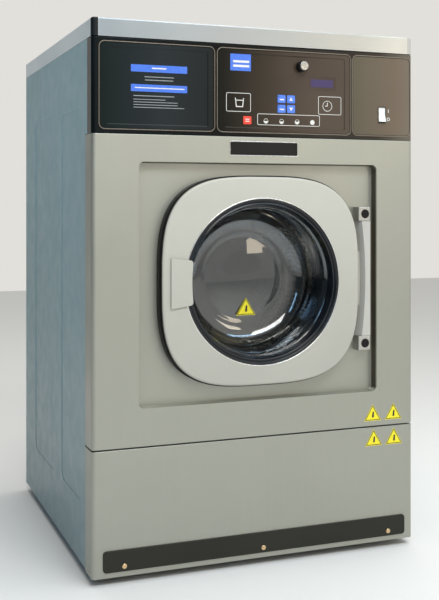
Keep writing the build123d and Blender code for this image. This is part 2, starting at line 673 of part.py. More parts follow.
def tub_bracket(side):
    """Shelf and gussets welded to the tub, which stand on the springs."""
    x = sorted((side * 222.0, side * 282.0))
    shelf = block(x, (140.0, 460.0), (BRACKET_Z, BRACKET_Z + RAIL_PLATE))
    for y in (*SPRING_Y, DAMPER_Y):
        shelf += block(x, (y - 4, y + 4), (BRACKET_Z + RAIL_PLATE - 1, 445.0))
    return shelf - bar_y(TUB_R - 1.0, (130.0, 470.0))


def tub_shell():
    shell = bar_y(TUB_R, (TUB_Y[0] + 3, TUB_Y[1]))
    shell += bar_z(SUMP_R, (238.0, 300.0), 0, SUMP_Y)
    shell += bar_z(26.0, (740.0, TUB_INLET_Z), SPOUT_X, SPOUT_Y)
    for side in (-1, 1):
        shell += tub_bracket(side)
    shell -= bar_y(TUB_R - TUB_WALL, (TUB_Y[0] - 1, TUB_Y[1] - 4))
    shell -= bar_z(SUMP_R - 3, (230.0, 300.0), 0, SUMP_Y)
    shell -= bar_z(24.0, (740.0, 805.0), SPOUT_X, SPOUT_Y)
    shell -= bar_y(46.0, (TUB_Y[1] - 6, TUB_Y[1] + 1))
    return shell


save("tub_shell", tub_shell())
front_points = [(TUB_MOUTH_R, 78), (155, 78), (155, 92), (290, 92), (290, 95), (TUB_MOUTH_R, 95)]
save("tub_front", turned(front_points))

WEIGHT_R = (198.0, 284.0)
WEIGHT_Y = (58.0, 92.0)


def weight(start, sweep):
    """Cast ring segment bolted to the tub's front."""
    rim_arc = CenterArc((0, 0), 2 * WEIGHT_R[1], start, sweep)
    sector = make_face([Line((0, 0), rim_arc @ 0), rim_arc, Line(rim_arc @ 1, (0, 0))])
    ring = Circle(WEIGHT_R[1]) - Circle(WEIGHT_R[0])
    return slab(Pos(0, AXIS_Z) * (ring & sector), WEIGHT_Y)


save("counterweights", weight(25, 130), weight(205, 130))

GASKET = [
    (153.5, 21.6), (167.5, 21.6), (167.5, 24.0), (158.0, 24.0), (155.5, 34.0), (162.0, 42.0),
    (162.0, 45.0), (155.5, 53.0), (162.0, 62.0), (162.0, 65.0), (155.5, 73.0), (159.0, 79.0),
    (159.0, 91.0), (155.2, 91.0), (155.2, 77.0), (153.0, 73.0), (159.0, 63.5), (153.0, 53.0),
    (159.0, 43.5), (153.0, 34.0),
]
save("door_gasket", turned(GASKET))

SPRING_R = (25.0, 31.0)
ROD_R = 8.0
springs = []
for side in (-1, 1):
    for y in SPRING_Y:
        springs.append(tube_z(SPRING_R[1], SPRING_R[0], (RAIL_TOP, BRACKET_Z), side * SPRING_X, y))
save("suspension_springs", *springs)
bodies, rods = [], []
for side in (-1, 1):
    tube = bar_z(19.0, (RAIL_TOP, 215.0), side * SPRING_X, DAMPER_Y)
    bodies.append(tube - bar_z(ROD_R + RUNNING, (120.0, 216.0), side * SPRING_X, DAMPER_Y))
    rods.append(bar_z(ROD_R, (150.0, BRACKET_Z), side * SPRING_X, DAMPER_Y))
save("damper_bodies", *bodies)
save("damper_rods", *rods)

# ---------------------------------------------------------------- drum

LIFTERS = 3


def drum_shell():
    ends = [
        (DRUM_MOUTH_R, DRUM_Y[0] - 4), (DRUM_MOUTH_R + 2, DRUM_Y[0] - 4), (DRUM_MOUTH_R + 2, DRUM_Y[0]),
        (DRUM_R, DRUM_Y[0]), (DRUM_R, DRUM_Y[1]), (0, DRUM_Y[1]), (0, DRUM_Y[1] - 3),
        (DRUM_R - DRUM_WALL, DRUM_Y[1] - 3), (DRUM_R - DRUM_WALL, DRUM_Y[0] + 2),
        (DRUM_MOUTH_R, DRUM_Y[0] + 2),
    ]
    return turned(ends)


def lifter(angle):
    """Hollow paddle on the drum's wall, running from front to back."""
    base = math.sqrt((DRUM_R - DRUM_WALL) ** 2 - 40**2) - 0.5
    crown = DRUM_R - 62.0
    outline = [
        Line((-40, base), (-13, crown)),
        ThreePointArc((-13, crown), (0, crown - 6), (13, crown)),
        Line((13, crown), (40, base)),
        Line((40, base), (-40, base)),
    ]
    face = Pos(0, AXIS_Z) * Rot(0, 0, angle) * make_face(outline)
    ends = (DRUM_Y[0] + 12, DRUM_Y[1] - 12)
    return slab(face, ends) - slab(offset(face, -DRUM_WALL), inset(ends, DRUM_WALL))


save("drum_shell", drum_shell())
save("drum_lifters", *[lifter(60 + 120 * i) for i in range(LIFTERS)])

spider = bar_y(62.0, (DRUM_Y[1], 494.0))
for i in range(LIFTERS):
    spoke = Pos(0, AXIS_Z) * Rot(0, 0, 120 * i) * Pos(0, 130) * Rectangle(54, 240)
    spider += slab(spoke, (DRUM_Y[1], 484.0))
spider -= bar_y(SHAFT_R, (DRUM_Y[1] - 1, 500.0))
save("drum_spider", spider)
save("drum_shaft", bar_y(SHAFT_R, (DRUM_Y[1], 652.0)))

pulley = tube_y(DRUM_PULLEY_R, DRUM_PULLEY_R - 12, PULLEY_Y) + tube_y(44.0, SHAFT_R, PULLEY_Y)
for i in range(5):
    spoke = Pos(0, AXIS_Z) * Rot(0, 0, 72 * i) * Pos(0, 86) * Rectangle(22, 90)
    pulley += slab(spoke, (PULLEY_Y[0] + 5, PULLEY_Y[1] - 5))
save("drum_pulley", pulley)

# ---------------------------------------------------------------- bearings

housing_ring = tube_y(45.9, 45.0, (496.0, 500.0)) + tube_y(125.0, 45.0, (500.0, 512.0))
housing_ring += tube_y(68.0, 45.0, (512.0, 604.0))
for i in range(6):
    rib = Pos(0, AXIS_Z) * Rot(0, 0, 60 * i) * Pos(0, 92) * Rectangle(9, 56)
    housing_ring += slab(rib, (511.0, 585.0)) - slab(rib, (540.0, 586.0))
save("bearing_housing", housing_ring)
save("shaft_seal", tube_y(45.0, SHAFT_R + RUNNING, (500.0, 509.0)))
save(
    "drum_bearings",
    tube_y(45.0, SHAFT_R + RUNNING, (514.0, 536.0)),
    tube_y(45.0, SHAFT_R + RUNNING, (578.0, 600.0)),
)

# ---------------------------------------------------------------- motor and belt

MOTOR_SHAFT_R = 12.0

motor = bar_y(MOTOR_R, MOTOR_Y, 0, MOTOR_Z)
for i in range(24):
    fin = Pos(0, MOTOR_Z) * Rot(0, 0, 15 * i) * Pos(0, MOTOR_R - 2) * Rectangle(3.0, 6.0)
    motor -= slab(fin, inset(MOTOR_Y, 18.0))
for y in (430.0, 478.0):
    motor += block((-96.0, 96.0), (y, y + 12.0), (225.0, 312.0)) - bar_y(TUB_R, (400.0, 600.0))
motor -= bar_y(MOTOR_SHAFT_R + RUNNING, (MOTOR_Y[0] + 15, MOTOR_Y[1] + 1), 0, MOTOR_Z)
save("motor", motor)
rotor = bar_y(MOTOR_SHAFT_R, (MOTOR_Y[0] + 20, PULLEY_Y[1]), 0, MOTOR_Z)
rotor += bar_y(MOTOR_PULLEY_R, PULLEY_Y, 0, MOTOR_Z)
save("motor_pulley", rotor)


def belt_face(grow):
    """Area inside the belt's loop round both pulleys."""
    big, small = DRUM_PULLEY_R + grow, MOTOR_PULLEY_R + grow
    apart = AXIS_Z - MOTOR_Z
    lean = math.asin((big - small) / apart)
    c, s = math.cos(lean), math.sin(lean)
    corners = [
        (big * c, AXIS_Z - big * s), (small * c, MOTOR_Z - small * s),
        (-small * c, MOTOR_Z - small * s), (-big * c, AXIS_Z - big * s),
    ]
    sides = make_face(Polyline(*corners, close=True))
    return sides + Pos(0, AXIS_Z) * Circle(big) + Pos(0, MOTOR_Z) * Circle(small)


belt = slab(belt_face(BELT_GAP + BELT_T), inset(PULLEY_Y, 2.0))
belt -= slab(belt_face(BELT_GAP), inset(PULLEY_Y, 1.0))
save("drive_belt", belt)

# ---------------------------------------------------------------- water and power

VALVE_TOP = 190.0
drain_hose = tube_z(SUMP_R + 4.5, SUMP_R + 0.2, (232.0, 262.0), 0, SUMP_Y)
drain_hose += tube_z(SUMP_R + 2.0, SUMP_R - 2.0, (VALVE_TOP + 1, 232.5), 0, SUMP_Y)
save("drain_hose", drain_hose)

pipe_path = FilletPolyline(
    (-20, SUMP_Y, DRAIN_Z), (DRAIN_X, SUMP_Y, DRAIN_Z), (DRAIN_X, DEPTH + REAR_REACH, DRAIN_Z), radius=60
)
pipe_start = Plane(origin=(-20, SUMP_Y, DRAIN_Z), z_dir=(-1, 0, 0))
drain = sweep(pipe_start * Circle(DRAIN_PIPE_R), path=pipe_path)
spigot_y = (DEPTH + REAR_REACH - DRAIN_SPIGOT, DEPTH + REAR_REACH)
drain += bar_y(DRAIN_R, spigot_y, DRAIN_X, DRAIN_Z)
drain += bar_z(42.0, (86.0, VALVE_TOP), 0, SUMP_Y)
drain += bar_x(26.0, (30.0, 92.0), SUMP_Y, DRAIN_Z)
drain -= sweep(pipe_start * Circle(DRAIN_PIPE_R - 2.5), path=pipe_path)
drain -= bar_z(30.0, (98.0, VALVE_TOP + 1), 0, SUMP_Y)
save("drain_valve", drain)

VALVE_Y = (DEPTH - 66, DEPTH - 26)
inlets = []
for x in INLET_X:
    thread_y = (DEPTH + INLET_REACH - INLET_THREAD, DEPTH + INLET_REACH)
    spout = tube_y(INLET_NECK_R, 8.0, (DEPTH - 30, thread_y[0]), x, INLET_Z)
    spout += tube_y(INLET_R, 8.0, thread_y, x, INLET_Z)
    valve = block((x - 24, x + 24), VALVE_Y, (INLET_Z - 26, INLET_Z + 34))
    valve -= bar_y(INLET_NECK_R, (DEPTH - 30, DEPTH), x, INLET_Z)
    hose = tube_y(9.0, 6.0, (HOUSING_Y[1], VALVE_Y[0]), x, INLET_Z)
    inlets += [spout, valve, hose]
save("inlet_valves", *inlets)

gland = tube_y(GLAND_R, GLAND_BORE_R, (DEPTH - 12, DEPTH), GLAND_X, GLAND_Z)
gland += slab(Pos(GLAND_X, GLAND_Z) * RegularPolygon(16.0, 6), (DEPTH, DEPTH + 7))
gland += bar_y(13.0, (DEPTH + 7, DEPTH + 20), GLAND_X, GLAND_Z)
gland -= bar_y(GLAND_BORE_R, (DEPTH - 20, DEPTH + 30), GLAND_X, GLAND_Z)
save("cable_gland", gland)

shelf_plate = block(inset((-RAIL_OUT, RAIL_OUT), POST_T), (420.0, 660.0), (880.0, 884.0))


def hollow_case(x, y, z, wall):
    """Closed sheet-metal or plastic box."""
    return block(x, y, z) - block(inset(x, wall), inset(y, wall), inset(z, wall))


inverter = hollow_case((40.0, 300.0), (430.0, 640.0), (884.0, 984.0), 4.0)
controller = hollow_case((-70.0, 180.0), (36.0, 76.0), (864.0, TOP_RING_Z[0]), 3.0)
save("electronics_boxes", inverter + shelf_plate, controller)
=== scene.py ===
"""Studio picture of a front-loading washer-extractor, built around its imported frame.

Metres, +Z up, the front towards -Y and +X to the right as seen from the front.
"""

import math

import bmesh
import bpy
from mathutils import Euler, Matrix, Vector


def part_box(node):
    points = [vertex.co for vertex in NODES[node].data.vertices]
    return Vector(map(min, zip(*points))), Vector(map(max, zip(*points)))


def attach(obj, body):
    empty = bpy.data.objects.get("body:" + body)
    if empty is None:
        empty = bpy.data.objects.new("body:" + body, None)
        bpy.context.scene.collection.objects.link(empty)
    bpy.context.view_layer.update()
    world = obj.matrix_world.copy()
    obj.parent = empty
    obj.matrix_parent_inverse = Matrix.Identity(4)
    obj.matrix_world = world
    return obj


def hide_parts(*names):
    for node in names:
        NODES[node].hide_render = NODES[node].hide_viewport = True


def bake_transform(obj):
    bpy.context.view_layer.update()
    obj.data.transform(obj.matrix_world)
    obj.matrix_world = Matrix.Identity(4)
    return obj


MM = 0.001

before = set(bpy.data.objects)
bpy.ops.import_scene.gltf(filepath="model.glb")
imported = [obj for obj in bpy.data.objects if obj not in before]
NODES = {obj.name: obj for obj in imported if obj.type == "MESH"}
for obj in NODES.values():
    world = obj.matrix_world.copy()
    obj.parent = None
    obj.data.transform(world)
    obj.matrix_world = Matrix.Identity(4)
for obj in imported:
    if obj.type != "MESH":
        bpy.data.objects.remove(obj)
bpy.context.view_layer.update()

# ---------------------------------------------------------------- places read from the frame

FRONT_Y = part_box("front_panel")[0].y
HALF_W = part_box("front_panel")[1].x
SEAM_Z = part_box("front_panel")[0].z
RING_LOW, RING_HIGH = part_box("door_ring")
AXIS_Z = (RING_LOW.z + RING_HIGH.z) / 2
WINDOW_R = (RING_HIGH.x - RING_LOW.x) / 2
BAYS = ("dispenser_front", "control_panel", "power_panel")
RECESS_SILL = AXIS_Z - 230 * MM
KEYS = ("select_key_upper", "select_key_lower", "up_key", "down_key", "stop_key")


def middle(node):
    """Centre of a node's box."""
    low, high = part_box(node)
    return (low + high) / 2


# ---------------------------------------------------------------- camera

EYE = Vector((-784.2 * MM, FRONT_Y - 1817.7 * MM, 716.2 * MM))
YAW = math.radians(20.91)
LENS = 60.07
HORIZON_RISE = 0.1623

camera = bpy.data.objects.new("camera", bpy.data.cameras.new("camera"))
bpy.context.scene.collection.objects.link(camera)
camera.location = EYE
camera.rotation_euler = Euler((math.pi / 2, 0, -YAW))
camera.data.lens = LENS
camera.data.sensor_width = 36.0
camera.data.shift_y = -HORIZON_RISE
bpy.context.scene.camera = camera

# ---------------------------------------------------------------- materials


class Shader:
    """One procedural material while it is being built."""

    def __init__(self, name, colour, rough, metal=0.0):
        self.name = name
        self.material = bpy.data.materials.new(name)
        self.material.use_nodes = True
        self.tree = self.material.node_tree
        self.out = self.tree.nodes["Principled BSDF"]
        self.set("Base Color", (*colour, 1))
        self.set("Roughness", rough)
        self.set("Metallic", metal)
        self.coords = self.tree.nodes.new("ShaderNodeTexCoord").outputs["Object"]
        self.material.diffuse_color = (*colour, 1)

    def set(self, name, value):
        """Give one input of the shader a fixed value."""
        self.out.inputs[name].default_value = value

    def noise(self, stretch, detail=3.0, rough=0.55):
        """Noise on the machine's own axes, `stretch` times as fine along each."""
        mapping = self.tree.nodes.new("ShaderNodeMapping")
        mapping.inputs["Scale"].default_value = stretch
        self.tree.links.new(self.coords, mapping.inputs["Vector"])
        noise = self.tree.nodes.new("ShaderNodeTexNoise")
        noise.inputs["Scale"].default_value = 1.0
        noise.inputs["Detail"].default_value = detail
        noise.inputs["Roughness"].default_value = rough
        self.tree.links.new(mapping.outputs["Vector"], noise.inputs["Vector"])
        return noise.outputs["Fac"]

    def spread(self, source, low, high, low_in=0.35, high_in=0.65):
        """The source fraction, stretched between two numbers."""
        node = self.tree.nodes.new("ShaderNodeMapRange")
        node.inputs["From Min"].default_value = low_in
        node.inputs["From Max"].default_value = high_in
        node.inputs["To Min"].default_value = low
        node.inputs["To Max"].default_value = high
        self.tree.links.new(source, node.inputs["Value"])
        return node.outputs["Result"]

    def colours(self, source, *stops):
        """Colour ramp from (place, colour) stops into the base colour."""
        ramp = self.tree.nodes.new("ShaderNodeValToRGB")
        ramp.color_ramp.elements[0].position = stops[0][0]
        ramp.color_ramp.elements[0].color = (*stops[0][1], 1)
        ramp.color_ramp.elements[1].position = stops[-1][0]
        ramp.color_ramp.elements[1].color = (*stops[-1][1], 1)
        for place, colour in stops[1:-1]:
            ramp.color_ramp.elements.new(place).color = (*colour, 1)
        self.tree.links.new(source, ramp.inputs["Fac"])
        self.tree.links.new(ramp.outputs["Color"], self.out.inputs["Base Color"])

    def along(self, axis, low, high):
        """0 to 1 between two places on one of the machine's own axes."""
        parts = self.tree.nodes.new("ShaderNodeSeparateXYZ")
        self.tree.links.new(self.coords, parts.inputs["Vector"])
        return self.spread(parts.outputs[axis], 0.0, 1.0, low, high)

    def times(self, a, b):
        """Product of two colours or fractions."""
        node = self.tree.nodes.new("ShaderNodeVectorMath")
        node.operation = "MULTIPLY"
        self.tree.links.new(a, node.inputs[0])
        self.tree.links.new(b, node.inputs[1])
        return node.outputs["Vector"]

    def tint(self, source, *stops):
        """Multiply what feeds the base colour by a second ramp."""
        under = self.out.inputs["Base Color"].links[0].from_socket
        self.colours(source, *stops)
        over = self.out.inputs["Base Color"].links[0].from_socket
        self.tree.links.new(self.times(under, over), self.out.inputs["Base Color"])

    def rough_from(self, source, low, high):
        """Roughness between two numbers."""
        self.tree.links.new(self.spread(source, low, high), self.out.inputs["Roughness"])

    def bump(self, source, strength, distance):
        """Small relief from the source."""
        node = self.tree.nodes.new("ShaderNodeBump")
        node.inputs["Strength"].default_value = strength
        node.inputs["Distance"].default_value = distance
        self.tree.links.new(source, node.inputs["Height"])
        self.tree.links.new(node.outputs["Normal"], self.out.inputs["Normal"])


def shade(colour, factor):
    """The colour, lighter or darker, never past white."""
    return tuple(min(1.0, c * factor) for c in colour)


def brushed(name, colour, rough, metallic, stretch, contrast):
    """Satin sheet metal: fine grain along one direction over slow tone changes."""
    s = Shader(name, colour, rough, metallic)
    grain = s.noise(stretch, 2.0)
    s.colours(grain, (0.3, shade(colour, 1 - contrast)), (0.7, shade(colour, 1 + contrast)))
    s.rough_from(s.noise((7, 7, 7), 2.0), rough - 0.04, rough + 0.05)
    s.bump(grain, 0.06, 0.0002)
    return s


def greys(*stops):
    """Colour stops from (place, value) pairs."""
    return [(place, (value, value, value)) for place, value in stops]


def front_steel(name):
    """Satin sheet with painted light: darker towards the floor, with painted shade and dark reflection on
    the drawn walls of the recess.
    """
    s = brushed(name, STEEL, 0.42, 0.7, (900, 900, 3), 0.012)
    # painted light: lighter at the top and darker towards the floor
    s.tint(s.along("Z", 0.1, 0.9), *greys((0.0, 0.82), (0.5, 0.87), (1.0, 0.98)))
    parts = s.tree.nodes.new("ShaderNodeSeparateXYZ")
    s.tree.links.new(s.coords, parts.inputs["Vector"])
    off_centre = s.tree.nodes.new("ShaderNodeMath")
    off_centre.operation = "ABSOLUTE"
    s.tree.links.new(parts.outputs["X"], off_centre.inputs[0])
    inside = s.spread(off_centre.outputs["Value"], 1.0, 0.0, 270 * MM, 275 * MM)
    past_edge = s.along("Y", FRONT_Y + 2.5 * MM, FRONT_Y + 4.5 * MM)
    before_floor = s.spread(parts.outputs["Y"], 1.0, 0.0, FRONT_Y + 17.2 * MM, FRONT_Y + 18.4 * MM)
    above_sill = s.along("Z", RECESS_SILL, RECESS_SILL + 4 * MM)
    # painted shade and dark reflection on the recess walls; the front face, floor and sill stay plain
    painted_wall_shade = s.times(s.times(inside, past_edge), s.times(before_floor, above_sill))
    s.tint(painted_wall_shade, (0.0, (1, 1, 1)), (1.0, (0.26, 0.22, 0.18)))
    return s


def lid_steel(name):
    """Satin sheet with a painted reflection of the room: its tone runs from cool and dark at the left to
    warm and bright at the right, with a pale blue left side.
    """
    s = brushed(name, (1.0, 1.0, 1.0), 0.36, 0.7, (3, 900, 900), 0.015)
    # painted reflection across the lid, including the pale blue left side
    s.tint(s.along("X", -HALF_W, HALF_W),
           (0.0, (0.86, 0.95, 1.0)), (0.010, (0.86, 0.95, 1.0)), (0.02, (0.316, 0.354, 0.381)),
           (0.21, (0.394, 0.424, 0.440)), (0.5, (0.425, 0.437, 0.435)), (0.79, (0.489, 0.493, 0.465)),
           (0.95, (0.68, 0.67, 0.61)), (1.0, (0.64, 0.63, 0.58)))
    return s


def corner_trim(name):
    """The left corner is black; the right one is painted in the lid's warm tone, a painted reflection."""
    s = moulded(name, (1.0, 1.0, 1.0), 0.34, depth=0.03)
    # black at the left, painted reflection at the right
    s.tint(s.along("X", -0.05, 0.05), (0.0, (0.010, 0.012, 0.013)), (1.0, (0.50, 0.48, 0.44)))
    s.set("Specular IOR Level", 0.25)
    return s


def gloss_panel(name, stops, rough):
    """Smooth moulded face with a painted reflection: its tone runs across the machine."""
    s = moulded(name, (1.0, 1.0, 1.0), rough, depth=0.02)
    # painted reflection of the room, darker at the left and warmer at the right
    s.tint(s.along("X", -HALF_W, HALF_W), *stops)
    s.set("Specular IOR Level", 0.16)
    return s


def dark(name, colour, rough, depth=0.12):
    """Moulded black with little shine."""
    s = moulded(name, colour, rough, depth)
    s.set("Specular IOR Level", 0.22)
    return s


def painted(name, colour, rough, height_shade=None):
    """Powder coat: slight orange peel and slow changes of tone, with optional painted shade that darkens it
    towards the floor.
    """
    s = Shader(name, colour, rough)
    s.colours(s.noise((4, 4, 4), 4.0), (0.3, shade(colour, 0.96)), (0.7, shade(colour, 1.04)))
    s.rough_from(s.noise((30, 30, 30)), rough - 0.04, rough + 0.06)
    s.bump(s.noise((420, 420, 420), 2.0), 0.08, 0.0003)
    # painted shade: darker towards the floor
    if height_shade:
        low, high, *stops = height_shade
        s.tint(s.along("Z", low, high), *greys(*stops))
    return s


def moulded(name, colour, rough, depth=0.12):
    """Moulded plastic with a fine spark-eroded texture."""
    s = Shader(name, colour, rough)
    s.colours(s.noise((5, 5, 5), 1.0), (0.3, shade(colour, 0.92)), (0.7, shade(colour, 1.08)))
    s.rough_from(s.noise((12, 12, 12), 2.0), rough - 0.02, rough + 0.04)
    s.bump(s.noise((900, 900, 900), 2.0), depth, 0.0002)
    return s


def rubber(name, colour, smooth=0.26, coarse=0.5):
    """Dark rubber with dusty and smooth patches."""
    s = Shader(name, colour, smooth)
    s.colours(s.noise((24, 24, 24), 4.0), (0.3, shade(colour, 0.8)), (0.7, shade(colour, 1.35)))
    s.rough_from(s.noise((80, 80, 80)), smooth, coarse)
    s.bump(s.noise((500, 500, 500)), 0.1, 0.0002)
    return s


def metal(name, colour, rough):
    """Bare metal with fine scratches."""
    s = Shader(name, colour, rough, 1.0)
    s.colours(s.noise((20, 20, 20), 4.0), (0.3, shade(colour, 0.92)), (0.7, shade(colour, 1.05)))
    s.rough_from(s.noise((200, 200, 200), 3.0), rough - 0.06, rough + 0.12)
    s.bump(s.noise((200, 200, 200), 2.0), 0.05, 0.0002)
    return s


def casting(name, colour):
    """Sand-cast metal with a coarse skin."""
    s = Shader(name, colour, 0.7, 0.3)
    s.colours(s.noise((35, 35, 35), 5.0), (0.3, shade(colour, 0.75)), (0.7, shade(colour, 1.2)))
    s.bump(s.noise((260, 260, 260), 4.0), 0.5, 0.0008)
    return s


def clear(name, tint):
    """Pressed glass with patches that are a little less polished."""
    s = Shader(name, tint, 0.0)
    s.set("Transmission Weight", 1.0)
    s.set("IOR", 1.85)
    s.rough_from(s.noise((18, 18, 18), 1.0), 0.0, 0.015)
    return s


def ink(name, colour, rough=0.45):
    """Screen-printed or film surface."""
    s = Shader(name, colour, rough)
    s.colours(s.noise((160, 160, 160)), (0.3, shade(colour, 0.93)), (0.7, shade(colour, 1.05)))
    s.rough_from(s.noise((90, 90, 90)), rough - 0.06, rough + 0.08)
    return s


STEEL = (0.447, 0.450, 0.392)
SHADERS = (
    front_steel("steel_front"),
    lid_steel("steel_lid"),
    # painted shade: the door darkens towards the floor
    painted("door_paint", (0.54, 0.53, 0.468), 0.34, (0.36, 0.76, (0, 0.78), (0.5, 0.88), (1, 0.98))),
    # the sides' dark teal stands partly for painted shade and bluish light, and darkens further towards the
    # floor as painted shade
    painted("side_paint_shaded", (0.245, 0.415, 0.465), 0.34, (0.1, 0.9, (0, 0.60), (0.5, 0.82), (1, 1.0))),
    painted("hinge_paint", (0.50, 0.49, 0.45), 0.4),
    painted("frame_paint", (0.10, 0.11, 0.12), 0.5),
    metal("galvanised", (0.55, 0.57, 0.58), 0.42),
    # fascia: painted reflection, black at the left to warm brown at the far right
    gloss_panel("console", (
        (0.0, (0.004, 0.007, 0.008)), (0.5, (0.003, 0.003, 0.002)), (0.75, (0.008, 0.006, 0.005)),
        (0.88, (0.035, 0.028, 0.020)), (0.97, (0.13, 0.11, 0.085)), (1.0, (0.16, 0.135, 0.11))), 0.18),
    # bay faces: painted reflection across the three bays
    gloss_panel("console_panel", (
        (0.03, (0.006, 0.012, 0.012)), (0.20, (0.021, 0.027, 0.030)), (0.345, (0.014, 0.017, 0.017)),
        (0.37, (0.006, 0.006, 0.004)), (0.5, (0.034, 0.025, 0.017)), (0.64, (0.062, 0.043, 0.032)),
        (0.785, (0.075, 0.055, 0.040)), (0.80, (0.105, 0.090, 0.062)), (0.94, (0.165, 0.125, 0.090)),
        (1.0, (0.19, 0.155, 0.12))), 0.2),
    # painted highlight: the bay beads are lighter than the fascia to stand for their highlight lines
    moulded("console_bead_highlight", (0.20, 0.165, 0.125), 0.2, depth=0.03),
    corner_trim("trim_corner"),
    dark("black_plastic", (0.008, 0.008, 0.008), 0.32),
    dark("kick", (0.022, 0.021, 0.016), 0.38),
    moulded("grey_plastic", (0.25, 0.26, 0.27), 0.45),
    moulded("white_plastic", (0.72, 0.72, 0.70), 0.4),
    moulded("rocker_white", (0.85, 0.90, 0.90), 0.25),
    dark("edge_rubber", (0.004, 0.004, 0.004), 0.5),
    metal("door_edge", (0.20, 0.18, 0.16), 0.34),
    rubber("rubber", (0.016, 0.019, 0.024)),
    rubber("ring_rubber", (0.004, 0.006, 0.009), 0.14, 0.24),
    metal("steel", (0.62, 0.61, 0.59), 0.22),
    brushed("drum_steel", (0.36, 0.35, 0.33), 0.3, 1.0, (40, 400, 40), 0.04),
    metal("polished", (0.80, 0.79, 0.77), 0.16),
    metal("button_metal", (0.44, 0.43, 0.41), 0.3),
    brushed("satin", (0.50, 0.49, 0.45), 0.38, 0.8, (300, 300, 300), 0.05),
    metal("brass", (0.72, 0.52, 0.30), 0.28),
    casting("cast", (0.09, 0.09, 0.09)),
    casting("alloy", (0.42, 0.43, 0.44)),
    # bluish tint: partly the glass's own tint, partly a painted blue reflection
    clear("glass", (0.52, 0.60, 0.67)),
    dark("lens", (0.050, 0.032, 0.024), 0.2, depth=0.02),
    ink("glow", (0.045, 0.028, 0.105), 0.45),
    ink("blue", (0.07, 0.20, 0.75), 0.3),
    ink("label_blue", (0.06, 0.18, 0.72), 0.3),
    ink("red", (0.80, 0.06, 0.03), 0.35),
    ink("white_ink", (0.78, 0.76, 0.72)),
    ink("grey_ink", (0.30, 0.32, 0.33)),
    ink("yellow", (0.90, 0.78, 0.02), 0.4),
    ink("black_ink", (0.01, 0.01, 0.01), 0.4),
)
MATERIALS = {shader.name: shader.material for shader in SHADERS}

CAD_LOOKS = {
    "steel_front": ("front_panel", "lower_front_panel"),
    "steel_lid": ("top_lid",),
    "door_paint": ("door_frame", "handle_plate"),
    "side_paint_shaded": ("side_panel_left", "side_panel_right"),
    "frame_paint": ("chassis_frame", "damper_bodies"),
    "galvanised": ("rear_panel", "electronics_boxes", "levelling_feet"),
    "console": ("console_fascia",),
    "console_panel": ("dispenser_front", "control_panel", "power_panel"),
    "trim_corner": ("lid_corner_trims",),
    "black_plastic": ("badge_plate", "door_back_plate", "button_bezel", "door_lock", "drain_valve",
                      "cable_gland"),
    "kick": ("kick_plate",),
    "grey_plastic": ("dispenser_housing",),
    "white_plastic": ("dispenser_drawer", "inlet_valves"),
    "rocker_white": ("rocker",),
    "ring_rubber": ("door_ring",),
    "rubber": ("shaft_seal", "drive_belt", "door_gasket", "drain_hose"),
    "steel": ("hinge_pins", "latch_hook", "damper_rods", "drum_bearings", "drum_shaft",
              "motor_pulley", "suspension_springs", "tub_shell", "tub_front"),
    "drum_steel": ("drum_shell", "drum_lifters"),
    "button_metal": ("start_button",),
    "satin": ("hinge_blocks",),
    "hinge_paint": ("hinge_leaf",),
    "brass": ("kick_screws",),
    "cast": ("counterweights", "bearing_housing", "drum_pulley"),
    "alloy": ("drum_spider", "motor"),
    "glass": ("door_glass",),
    "lens": ("display_window",),
    "blue": KEYS[:4],
    "red": KEYS[4:],
}


for look, names in CAD_LOOKS.items():
    for name in names:
        for material_slot in NODES[name].material_slots:
            material_slot.material = MATERIALS[look]

# ---------------------------------------------------------------- making meshes


def add(name, mesh, look, body, smooth=True):
    """Put a mesh in the scene, attached to its body if it has one."""
    obj = bpy.data.objects.new(name, mesh)
    bpy.context.scene.collection.objects.link(obj)
    mesh.materials.append(MATERIALS[look])
    if smooth:
        mesh.polygons.foreach_set("use_smooth", [True] * len(mesh.polygons))
    if body:
        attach(obj, body)
    return obj


def mesh_of(name, verts, faces):
    """Mesh from lists of vertices and faces."""
    mesh = bpy.data.meshes.new(name)
    mesh.from_pydata([tuple(v) for v in verts], [], faces)
    mesh.validate()
    return mesh


MERGE = 1e-6


def finish_mesh(mesh):
    """Weld, drop slivers and turn every face outwards."""
    bm = bmesh.new()
    bm.from_mesh(mesh)
    bmesh.ops.remove_doubles(bm, verts=bm.verts, dist=MERGE)
    bmesh.ops.dissolve_degenerate(bm, edges=bm.edges, dist=MERGE)
    bmesh.ops.recalc_face_normals(bm, faces=bm.faces)
    bm.to_mesh(mesh)
    bm.free()
    return mesh


def bmesh_to_mesh(bm, name):
    """New mesh from a bmesh, with every face turned outwards."""
    bmesh.ops.recalc_face_normals(bm, faces=bm.faces)
    mesh = bpy.data.meshes.new(name)
    bm.to_mesh(mesh)
    bm.free()
    return mesh


def ring_faces(rings, size, closed=True):
    """Faces between rings of `size` points each; the last ring joins the first if closed."""
    faces = []
    for i in range(rings if closed else rings - 1):
        here, there = i * size, (i + 1) % rings * size
        for k in range(size):
            n = (k + 1) % size
            faces.append((here + k, there + k, there + n, here + n))
    return faces


def lathe(name, profile, steps=160):
    """Turn a closed loop of (radius, y) points about the drum's axis."""
    verts = []
    for i in range(steps):
        a = 2 * math.pi * i / steps
        verts += [(r * math.cos(a), y, AXIS_Z + r * math.sin(a)) for r, y in profile]
    return finish_mesh(mesh_of(name, verts, ring_faces(steps, len(profile))))


def rounded(width, height, r, steps=6):
    """Corner points of a rounded rectangle about (0, 0), anticlockwise."""
    points = []
    for cx, cz, turn in ((1, 1, 0), (-1, 1, 90), (-1, -1, 180), (1, -1, 270)):
        for i in range(steps + 1):
            a = math.radians(turn + 90 * i / steps)
            x = cx * (width / 2 - r) + r * math.cos(a)
            points.append((x, cz * (height / 2 - r) + r * math.sin(a)))
    return points


